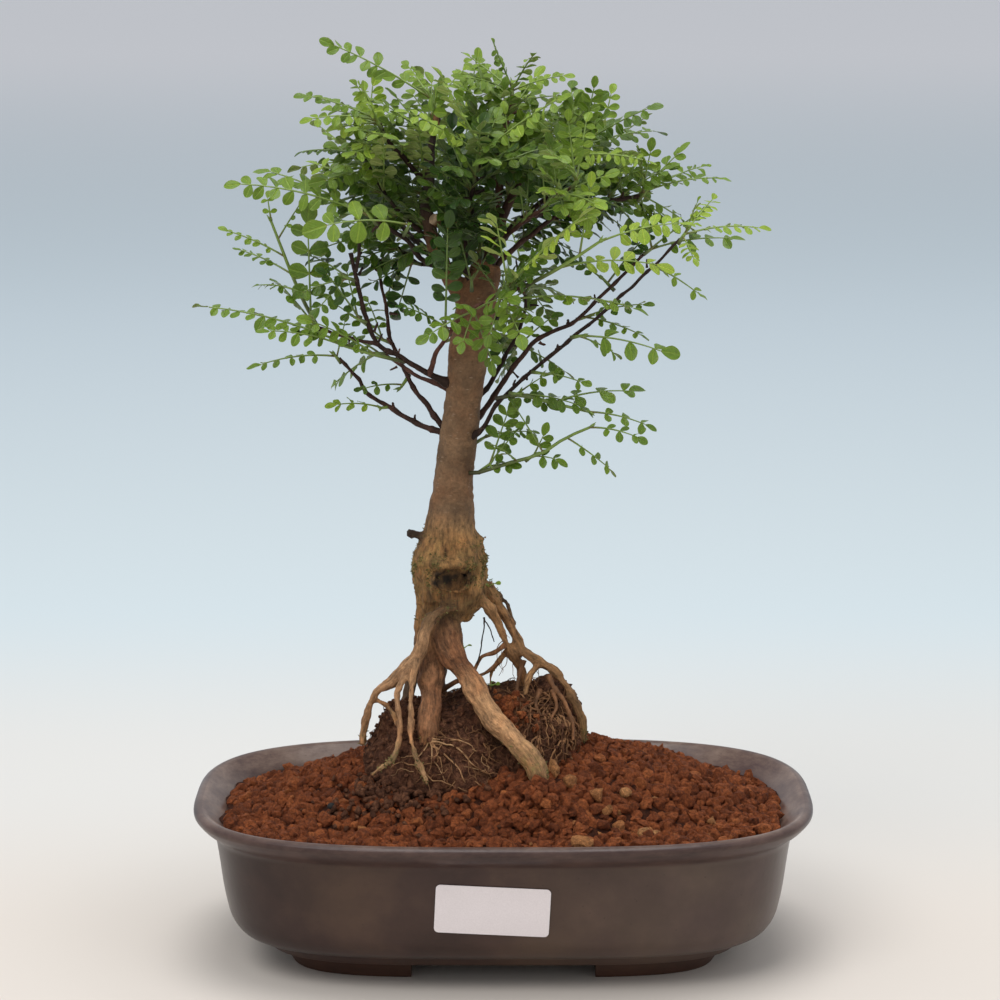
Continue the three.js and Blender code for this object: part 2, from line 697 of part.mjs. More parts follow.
function frondPoint(frame, s, across, height) {
  const rise = FROND_ARCH * frame.length * 4 * s * (1 - s) * (1 - Math.abs(frame.along.z));
  return frame.base.clone()
    .addScaledVector(frame.along, s * frame.length)
    .addScaledVector(frame.side, across)
    .addScaledVector(frame.up, height - LEAFLET_FOLD * Math.abs(across))
    .add(new THREE.Vector3(0, 0, rise));
}

const leafletReach = (length) => THREE.MathUtils.clamp(0.15 * length, ...LEAFLET_REACH);

// Upper edge of a frond's outline as [distance along, distance across]: the rib, then two corners of each leaflet
function frondEdge(length, pairs) {
  const reach = leafletReach(length);
  const first = 0.2 * length;
  const pitch = (0.8 * length - first) / pairs;
  const edge = [[0, RIB]];
  for (let i = 0; i < pairs; i++) {
    const start = first + i * pitch;
    edge.push([start, RIB], [start + 0.12 * pitch, 0.85 * reach], [start + 0.8 * pitch, reach]);
  }
  edge.push([0.8 * length, RIB], [0.9 * length, 0.45 * reach]);
  return edge;
}

// Faces of one side of the blade: the rib from pair to pair, the leaflets off it, and the one at the tip
function frondFaces(pairs) {
  const tip = 3 * pairs + 3;
  const across = (i) => 2 * tip - i;
  const faces = [[across(0), across(1), 1], [across(0), 1, 0]];
  for (let i = 1; i < 3 * pairs; i += 3) {
    const [near, out, far, next] = [i, i + 1, i + 2, i + 3];
    faces.push([across(near), across(next), next], [across(near), next, near]);
    faces.push([near, next, far], [near, far, out]);
    faces.push([across(next), across(near), across(out)], [across(next), across(out), across(far)]);
  }
  const [neck, shoulder] = [tip - 2, tip - 1];
  faces.push([across(neck), across(shoulder), tip], [across(neck), tip, shoulder]);
  faces.push([across(neck), shoulder, neck]);
  return faces;
}

function frondSolid(frame) {
  const { length } = frame;
  const pairs = length > LONG_FROND ? 3 : 2;
  const edge = frondEdge(length, pairs);
  const mirrored = [...edge].reverse().map(([u, v]) => [u, -v]);
  const outline = [...edge, [length, 0], ...mirrored];
  const count = outline.length;
  const points = [BLADE / 2, -BLADE / 2].flatMap((height) =>
    outline.flatMap(([u, v]) => frondPoint(frame, u / length, v, height).toArray()));
  const index = [];
  for (const [a, b, c] of frondFaces(pairs)) {
    index.push(a, b, c, a + count, c + count, b + count);
  }
  for (let i = 0; i < count; i++) {
    const next = (i + 1) % count;
    index.push(i, next, next + count, i, next + count, i + count);
  }
  const geometry = new THREE.BufferGeometry();
  geometry.setAttribute("position", new THREE.Float32BufferAttribute(points, 3));
  geometry.setIndex(index);
  return toSolid(geometry);
}

// Points that stand for a frond when the next ones are kept clear of it
function frondSamples(frame) {
  const reach = leafletReach(frame.length);
  const samples = RIB_PLACES.map((s) => frondPoint(frame, s, 0, 0));
  for (const s of LEAFLET_PLACES) {
    samples.push(frondPoint(frame, s, reach, 0), frondPoint(frame, s, -reach, 0));
  }
  return samples;
}

function limbSamples() {
  const samples = [];
  for (const { route, radii } of Object.values(LIMBS)) {
    const curve = routeCurve(route);
    const count = Math.ceil(curve.getLength() / 6);
    for (let i = 0; i <= count; i++) {
      const u = i / count;
      samples.push({ point: curve.getPointAt(u), radius: radiusAt(radii, curve.getUtoTmapping(u)) });
    }
  }
  return samples;
}

const clearOf = (samples, wood, taken) => samples.every((p, i) =>
  (i === 0 || wood.every(({ point, radius }) => p.distanceTo(point) > radius + WOOD_CLEARANCE))
  && taken.every((q) => p.distanceTo(q) > CLEARANCE)
  && Math.abs(p.x) < CROWN_LIMIT[0] && Math.abs(p.y) < CROWN_LIMIT[1] && p.z < CROWN_LIMIT[2]);

// Every shoot with its stem and the frames of its fronds
function layOutShoots() {
  const taken = [];
  const shoots = [];
  for (const [name, { stem, tips }] of Object.entries(SHOOTS)) {
    const curve = routeCurve(stem);
    const [last, span] = stem.length > 2 ? [1, 0.8] : [0.72, 0.4];
    const fronds = tips.map(([x, y, z, lean = FRONT_LEAN], i) => {
      const place = last - span * (i / tips.length);
      return frondFrame(curve.getPointAt(place), new THREE.Vector3(x, y, z), lean);
    });
    shoots.push({ name, stem, fronds, single: true });
    taken.push(...fronds.flatMap(frondSamples));
  }
  const wood = limbSamples();
  SPRAYS.forEach(([limb, place, count], number) => {
    const random = randomFrom(100 + number);
    const curve = routeCurve(LIMBS[limb].route);
    const hub = curve.getPointAt(place);
    const outward = hub.clone().sub(vector(CROWN_MIDDLE)).normalize();
    const axis = curve.getTangentAt(place).multiplyScalar(SPRAY.tangent).add(outward);
    axis.add(new THREE.Vector3(0, 0, SPRAY.upward)).normalize();
    const radius = place < 1 ? radiusAt(LIMBS[limb].radii, curve.getUtoTmapping(place)) : 0;
    const foot = hub.clone().addScaledVector(axis, radius + GAP);
    const across = axis.clone().cross(new THREE.Vector3(0.3, 1, 0.1)).normalize();
    const over = axis.clone().cross(across);
    const fronds = [];
    const own = [];
    for (let i = 0; i < count; i++) {
      const start = foot.clone().addScaledVector(axis, (0.3 + 0.5 * (i / count)) * BUD_LENGTH);
      const length = SPRAY_LENGTH * (0.8 + 0.4 * random());
      for (let attempt = 0; attempt < SPRAY.tries; attempt++) {
        const turn = i * GOLDEN_ANGLE + attempt * SPRAY.turn + random();
        const open = SPRAY.open + SPRAY.spread * ((i + random()) / count);
        const heading = axis.clone().multiplyScalar(Math.cos(open))
          .addScaledVector(across, Math.sin(open) * Math.cos(turn))
          .addScaledVector(over, Math.sin(open) * Math.sin(turn))
          .add(new THREE.Vector3(0, 0, SPRAY.rise));
        const tip = start.clone().addScaledVector(heading.normalize(), length);
        const frame = frondFrame(start, tip, start.y < REAR ? FRONT_LEAN : REAR_LEAN);
        const samples = frondSamples(frame);
        if (clearOf(samples, wood, taken) && clearOf(samples.slice(2), [], own)) {
          fronds.push(frame);
          own.push(...samples.slice(2));
          break;
        }
      }
    }
    taken.push(...fronds.flatMap(frondSamples));
    if (fronds.length) {
      const end = foot.clone().addScaledVector(axis, BUD_LENGTH);
      const stem = [foot.toArray(), end.toArray()];
      shoots.push({ name: `${limb}_spray_${number + 1}`, stem, fronds, single: false });
    }
  });
  return shoots;
}

// Spindle from the wood to the tip of a short shoot
function budSolid([from, to]) {
  const axis = vector(to).sub(vector(from));
  const half = axis.length() / 2;
  const middle = vector(from).addScaledVector(axis, 0.5);
  const bud = new THREE.OctahedronGeometry(1, 0).scale(BUD_RADIUS, half, BUD_RADIUS);
  const turn = new THREE.Quaternion().setFromUnitVectors(new THREE.Vector3(0, 1, 0), axis.normalize());
  return toSolid(bud.applyQuaternion(turn).translate(...middle));
}

function buildShoot({ stem, fronds }, wood) {
  const axis = stem.length > 2 ? tube({ route: stem, radii: STEM_RADII, sides: 4 }) : budSolid(stem);
  return largestPiece(Manifold.union([axis, ...fronds.map(frondSolid)]).subtract(wood));
}

const wallInset = (z) => {
  const row = POT_OUTSIDE.findIndex(([, height]) => height > z);
  const [low, high] = [POT_OUTSIDE[row - 1], POT_OUTSIDE[row]];
  return THREE.MathUtils.mapLinear(z, low[1], high[1], low[0], high[0]);
};

function wallFront(x, z) {
  const inset = wallInset(z);
  const reach = Math.abs(x) / (POT_LENGTH / 2 - inset);
  const power = planPower(inset);
  return -(POT_DEPTH / 2 - inset) * (1 - reach ** power) ** (1 / power);
}

function buildLabel() {
  const [w, h] = LABEL_SIZE.map((s) => s / 2);
  const [right, top] = [w - LABEL_CORNER, h - LABEL_CORNER];
  const shape = new THREE.Shape();
  shape.absarc(right, top, LABEL_CORNER, 0, Math.PI / 2);
  shape.absarc(-right, top, LABEL_CORNER, Math.PI / 2, Math.PI);
  shape.absarc(-right, -top, LABEL_CORNER, Math.PI, 1.5 * Math.PI);
  shape.absarc(right, -top, LABEL_CORNER, 1.5 * Math.PI, 2 * Math.PI);
  const geometry = new THREE.ExtrudeGeometry(shape, {
    depth: LABEL_THICKNESS, bevelEnabled: false, curveSegments: 2,
  });
  geometry.rotateZ(LABEL_TILT);
  const at = geometry.attributes.position;
  for (let i = 0; i < at.count; i++) {
    const x = LABEL_CENTRE[0] + at.getX(i);
    const z = LABEL_CENTRE[1] + at.getY(i);
    at.setXYZ(i, x, wallFront(x, z) - LABEL_LIFT - at.getZ(i), z);
  }
  return toSolid(geometry);
}

const group = new THREE.Group();

function addNode(name, body, color, roughness) {
  const mesh = body.getMesh();
  const geometry = new THREE.BufferGeometry();
  geometry.setAttribute("position", new THREE.Float32BufferAttribute(mesh.vertProperties, 3));
  geometry.setIndex([...mesh.triVerts]);
  geometry.computeVertexNormals();
  const node = new THREE.Mesh(geometry, new THREE.MeshStandardMaterial({ color, roughness, metalness: 0 }));
  node.name = name;
  group.add(node);
}

const tree = buildTree(0);
const treeRoom = buildTree(GAP);
addNode("pot", buildPot(), colours.glaze, 0.35);
addNode("drain_mesh_left", buildDrainMesh(-1), colours.mesh, 0.6);
addNode("drain_mesh_right", buildDrainMesh(1), colours.mesh, 0.6);
addNode("soil", buildSoil(treeRoom), colours.soil, 0.95);
addNode("root_ball", largestPiece(buildBall(0).subtract(treeRoom)), colours.peat, 0.95);
addNode("tree", tree, colours.bark, 0.8);
addNode("label", buildLabel(), colours.label, 0.5);
for (const shoot of layOutShoots()) {
  const color = shoot.single ? colours.leaf : colours.inner_leaf;
  addNode(shoot.name, buildShoot(shoot, treeRoom), color, 0.45);
}

export default group;
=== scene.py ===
"""Japanese pepper bonsai: the looks, built around the solids.

Shapes are laid out in millimetres and made into meshes in metres. The pot's front faces -Y.
"""
import math

import bmesh
import bpy
import numpy as np
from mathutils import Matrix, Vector, noise
from mathutils.bvhtree import BVHTree


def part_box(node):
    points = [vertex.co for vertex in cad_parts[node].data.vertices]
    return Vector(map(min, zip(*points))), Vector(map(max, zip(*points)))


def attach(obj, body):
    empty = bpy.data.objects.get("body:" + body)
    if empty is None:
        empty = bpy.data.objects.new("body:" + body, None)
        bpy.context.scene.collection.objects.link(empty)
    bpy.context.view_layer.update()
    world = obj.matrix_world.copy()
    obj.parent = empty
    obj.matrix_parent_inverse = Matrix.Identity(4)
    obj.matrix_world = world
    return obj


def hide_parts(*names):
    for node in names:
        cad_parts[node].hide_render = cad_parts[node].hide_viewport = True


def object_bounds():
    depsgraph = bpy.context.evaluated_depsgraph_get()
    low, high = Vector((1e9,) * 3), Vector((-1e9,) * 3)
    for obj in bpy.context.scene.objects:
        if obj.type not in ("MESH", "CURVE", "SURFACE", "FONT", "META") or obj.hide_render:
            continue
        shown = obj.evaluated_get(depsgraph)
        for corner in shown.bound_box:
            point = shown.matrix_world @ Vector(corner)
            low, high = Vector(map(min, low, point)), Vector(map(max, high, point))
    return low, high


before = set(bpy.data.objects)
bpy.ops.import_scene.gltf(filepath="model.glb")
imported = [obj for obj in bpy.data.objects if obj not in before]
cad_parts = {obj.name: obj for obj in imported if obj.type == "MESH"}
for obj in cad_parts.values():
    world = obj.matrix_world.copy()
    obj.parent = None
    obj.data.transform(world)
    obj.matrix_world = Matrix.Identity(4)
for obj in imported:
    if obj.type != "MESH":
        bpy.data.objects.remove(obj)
solids_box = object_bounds()

MM = 0.001

# Pot
POT_LENGTH = 280
POT_DEPTH = 190
PLAN_POWER = 3.1
PLAN_TIGHTEN = 0.022
PLAN_SIDES = 168
FOOT_HEIGHT = 8.5
FOOT_INSET = 38
FOOT_TAPER = 6
FOOT_WIDTH = 19
FOOT_GAP = (82, 56)
LIP_START = 63
LIP_FADE = 4
# The dark band round the lip: how far in it reaches by height, and how dark it is by height
BAND_REACH = ((61, 66, 72.5), (11, 5.5, 3.6))
BAND_SHADE = ((60.5, 62.5, 71.4, 72.6), (0, 0.92, 0.92, 0.3))
# How much of the dark clay brown shows, by height: bare clay at the very bottom, and higher on the feet and
# the band partly thin glaze and partly painted shade
BARE_CLAY_AND_FOOT_SHADE = ((0.8, 1.8, 9, 13), (1, 0.5, 0.35, 0))
NET_STRAND = 0.7
FLOOR_TOP = 17
DRAIN_OFFSET = 55
DRAIN_RADIUS = 9
# Each row is the inset from the lip's plan, the height, and how round the corner is
POT_ROWS = [
    (60, 8.5, 0), (38, 8.5, 1), (33.5, 9, 1), (30, 13.5, 0.8), (24.5, 15, 1.2), (20, 17.5, 2.4),
    (16, 23, 4), (13.4, 34, 8), (11, 52, 6), (9.5, 61, 2.5), (3.5, 65, 2.5), (0, 69, 1.4), (0, 71, 1),
    (2.5, 72.5, 1.2), (5, 72, 1.6), (16.5, 63.5, 4), (20, 52, 7), (23, 32, 8), (33, 17, 6), (60, 17, 0),
]

# Soil
SOIL_EDGE = 66
SOIL_SLOPE = -0.02
SOIL_RISE = 30
SOIL_PEAK = (2, 4)
SOIL_REACH = (120, 74)
SOIL_SHAPE = 2
# A place where the soil is heaped higher: its middle, its height and its reach along x and y
SOIL_SWELL = (16, -48, 7, 26, 15)
GRANULE_PITCH = 4.4
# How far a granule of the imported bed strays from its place, its radius and its rise over the soil
GRANULE_STRAY = 1.2
GRANULE_RADIUS = (2.5, 3.8)
GRANULE_RISE = (-1.4, 0.6)
# Loose granules and grit: how many, least and largest radius, lowest and highest rise
LOOSE_GRANULES = [(520, 2, 4.2, -0.4, 1.6), (700, 0.8, 1.6, 0.4, 2.4)]
# Share of pale granules, in general and at the front right
PALE_SHARE = (0.004, 0.02)
BEAD_PLACE = (-76.5, -41)
BEAD_RADIUS = 1.9
# Place and radius of single pale lumps, and how many granules lie on the root ball
PALE_LUMPS = [
    (22, -41, 3.8), (30, -47, 3.2), (41, -50, 3.6), (46, -55, 2.6), (62, -63, 3.2), (34, -81, 4),
    (20, -52, 2.6), (54, -44, 2.4), (-62, -60, 2.2), (92, -46, 2.4),
]
BALL_GRANULES = 70
# Granules piled where the middle root goes into the soil: how many, how high, their middle and spread
PILE_COUNT = 190
PILE_HEIGHT = 12
PILE_MIDDLE = (15, -59)
PILE_SPREAD = (9, 5)
# How much lower granules lie towards the back, and from how far back they lie that low
BACK_DROP = 0.9
BACK_REACH = 25

# Root ball
BALL_CENTRE = (-14, -6)
BALL_HALF = (51, 40)
BALL_TURN = 0.36
BALL_TILT = 0.14
BALL_ROWS = [(0.8, 40), (1, 66), (0.98, 88), (0.9, 101), (0.76, 110), (0.5, 115), (0.22, 117)]
# Hump and hollow of its top, each with its place, its height and its reach along x and y
BALL_SWELLS = [(27, 2, 11, 14, 16), (-1, -36, -9, 15, 11), (-53, -9, 9, 13, 15)]
# A patch of red clay on it: its middle and its reach
CLAY_PATCH = (3, -22, 115)
CLAY_REACH = (14, 12, 9)
# Loose peat round its foot: how many crumbs, their middle and their spread
SKIRT_COUNT = 420
SKIRT_MIDDLE = (-46, -40)
SKIRT_SPREAD = (16, 9)
# Crumbs on the ball
CRUMB_COUNT = 1500
# Fibres all round the ball, low on its front, hanging from the right roots, and on its right
FIBRE_COUNTS = (330, 34, 26, 95)
# Straw-like roots that spread on its front from one place: heading, steps and radius of each
STRAW_START = (-33.5, -44, 110)
STRAWS = [
    (-0.8, 13, 0.55), (-0.55, 9, 0.4), (0.1, 12, 0.5), (0.75, 10, 0.45), (-1.1, 11, 0.35), (-2.2, 8, 0.4),
    (-0.15, 8, 0.35),
]

# Label
LABEL_SIZE = (50, 22.6)
LABEL_CENTRE = (-4.8, 41)
LABEL_TILT = -0.05
LABEL_CORNER = 2
LABEL_GAP = 0.3
LABEL_THICKNESS = 0.3

# Wood
VOXEL = 0.9
HOLLOW_CENTRE = (-21, -18.5, 173.4)
HOLLOW_HALF = (10.5, 6.5, 4.8)
LEDGE_CENTRE = (-21, -17, 180.5)
LEDGE_REACH = (14, 9, 2.4)
# How far the collar stands back under its ledge, the half sizes of the painted shade round its hollow, and
# between which heights it stands back
UNDERCUT = 3.2
RECESS_SHADE_HALF = (14, 12, 6.4)
UNDERCUT_HEIGHTS = (158, 166, 177, 179.5)
COLLAR_TONE = (0.285, 0.154, 0.056)
STUB_TONE = (0.045, 0.026, 0.02)
TRUNK_TONE = (0.19, 0.112, 0.058)
UPPER_TONE = (0.175, 0.091, 0.041)
LEADER_TONE = (0.05, 0.032, 0.026)
ROOT_TONE = (0.3, 0.158, 0.066)
LOW_ROOT_TONE = (0.21, 0.118, 0.045)
PALE_ROOT_TONE = (0.43, 0.235, 0.11)
PINK_ROOT_TONE = (0.37, 0.205, 0.1)
RED_ROOT_TONE = (0.22, 0.1, 0.044)
BACK_ROOT_TONE = (0.1, 0.06, 0.035)
# Radius of a branch to its solid's, its least radius, and the mean radius past which its bark is browner
BRANCH_SLIM = 0.68
BRANCH_LEAST = 0.55
STOUT_BRANCH = 2.4
TWIG_TONE = (0.02, 0.011, 0.008)
RED_TWIG_TONE = (0.085, 0.036, 0.025)
CUT_TONE = (0.42, 0.3, 0.19)
# Foot, top and radius of each cut stub
CUT_STUBS = [
    ((-25, 1, 330), (-31, -5, 334), 2.4),
    ((-30, 4, 374), (-30.5, 4, 380), 1.7),
]
NEW_STALK_TONE = (0.22, 0.32, 0.06)
OLD_STALK_TONE = (0.1, 0.16, 0.035)
STALK_FOOT_TONE = (0.12, 0.06, 0.03)
MOSS_COUNT = 2000
# Thin woody roots: radius at the start and at the end, and the route
THIN_ROOTS = [
    (1.1, 0.9, [(0.8, -4, 141.1), (-4.7, -3, 137.1), (-9.6, -3, 135.3), (-11.9, -3, 132),
        (-13.3, -4, 128.6)]),
    (0.9, 0.7, [(-2, -1, 132.5), (-6.9, -2, 128.1), (-9.7, -3, 126.9), (-13.3, -4, 126.7)]),
    (1.5, 1.0, [(-28.6, -6, 120.7), (-25, -9, 123.3), (-20.9, -12, 126.3), (-17.7, -14, 128.2)]),
    (0.35, 0.3, [(-8.7, -4, 154), (-8.7, -5, 149.2), (-9.6, -5, 143.6), (-10.5, -5, 138.1),
        (-11.9, -5, 132.5)]),
    (0.3, 0.25, [(-8.7, -3, 152.9), (-6.5, -3, 149.2), (-5.1, -3, 145), (-4.2, -3, 142.2)]),
    (1.2, 0.8, [(8.9, -6, 134.6), (7.5, -8, 127.7), (6.2, -11, 121.9), (7.1, -13, 116.8)]),
    (1.3, 0.7, [(20.2, -9, 127.9), (23.7, -13, 122.4), (28.2, -16, 116.2), (30.8, -19, 109.1),
        (31.3, -21, 101.3)]),
    (1.0, 0.6, [(16.5, -13, 122.4), (14.7, -17, 116.9), (16.9, -21, 111), (15.1, -25, 105.1),
        (16.8, -28, 100.8)]),
    (0.9, 0.6, [(21.9, -13, 122.4), (24.1, -17, 115.5), (21.4, -21, 109.2), (23.6, -24, 101.6)]),
]
# Foot and size of each weed
WEEDS = [((-5.6, -2, 167.5), 3.4), ((-15.9, -13, 142.7), 2.2), ((-2.4, -8, 122.1), 2.6)]

# Sprays that fill the crown: limb, first and last place on it, and how many
FILL = [
    ("trunk", 0.94, 0.98, 3), ("left", 0.6, 0.95, 1), ("front", 0.6, 0.9, 3),
    ("leader_left", 0.25, 0.95, 8), ("leader_left_fork", 0.3, 0.95, 4), ("leader_left_outer", 0.3, 0.95, 3),
    ("leader_left_rear", 0.3, 0.95, 4), ("inner", 0.3, 0.97, 8),
    ("inner_fork", 0.3, 0.95, 6), ("inner_side", 0.3, 0.95, 5), ("leader_right", 0.2, 0.97, 10),
    ("leader_middle", 0.2, 0.97, 9), ("leader_far_right", 0.25, 0.95, 7), ("right_rear", 0.35, 0.95, 5),
    ("right_inner", 0.6, 0.95, 1),
    ("rear_left", 0.3, 0.95, 5), ("rear", 0.25, 0.95, 6), ("rear_right", 0.3, 0.95, 6),
    ("rear_low", 0.4, 0.9, 3), ("front_right", 0.3, 0.95, 5),
]
FILL_LENGTH = 27
FILL_HEART = (-5, 0, 332)
FILL_REACH = (58, 46, 56)
FILL_CLEARANCE = 2.1
FILL_LIFT = -0.6
# The height that the fronds of these sprays end under
FILL_TOP = 400
# The height from which a shoot that reaches past the solids' top is lowered
EASE_START = 385

# More shoots that stand for no solid: age, stem and the tips of their fronds
LOOSE_SHOOTS = {
    "fork_front": (0.86, [(-14, -11, 304), (-14, -13, 308)],
        [(-37, -21, 322), (0, -24, 331), (-22, -24, 340)]),
    "fork_side": (0.8, [(-4, -9, 300), (-2, -12, 303)],
        [(16, -26, 322), (-14, -26, 320)]),
    "low_shoot_foot": (0.5, [(-10, -6, 221.3), (-6, -9, 225)],
        [(3.8, -10, 254), (6.5, -16, 241.5), (6.9, -13, 224.8)]),
    "low_shoot_side": (0.4, [(11, -12, 227.8), (13.6, -13, 229.8)],
        [(19.7, -16, 242.9), (27.7, -18, 227)]),
    "right_low_row": (0.45, [(4, -14, 257.6), (7, -15, 257.4)], [(39, -18.2, 250.6)]),
    "right_low_side": (0.5, [(3.8, -4, 254), (7.4, -6, 257)],
        [(21.6, -8, 266.3), (23.3, -12, 250.7)]),
}

# Camera
CAMERA_PLACE = (-1.5, -1457.7, 479.8)
CAMERA_AIM = (-1.5, 0, 207)
CAMERA_LENS = 118.8
# Lights: size, power, place in metres and colour
LIGHTS = {
    "key": (1.8, 34, (-1.1, -1.7, 2.5), (1, 0.985, 0.96)),
    "fill": (2.2, 8, (2.2, -1.6, 1.4), (1, 1, 1)),
    "top": (1.6, 34, (0.1, -0.1, 2.6), (1, 1, 1)),
}

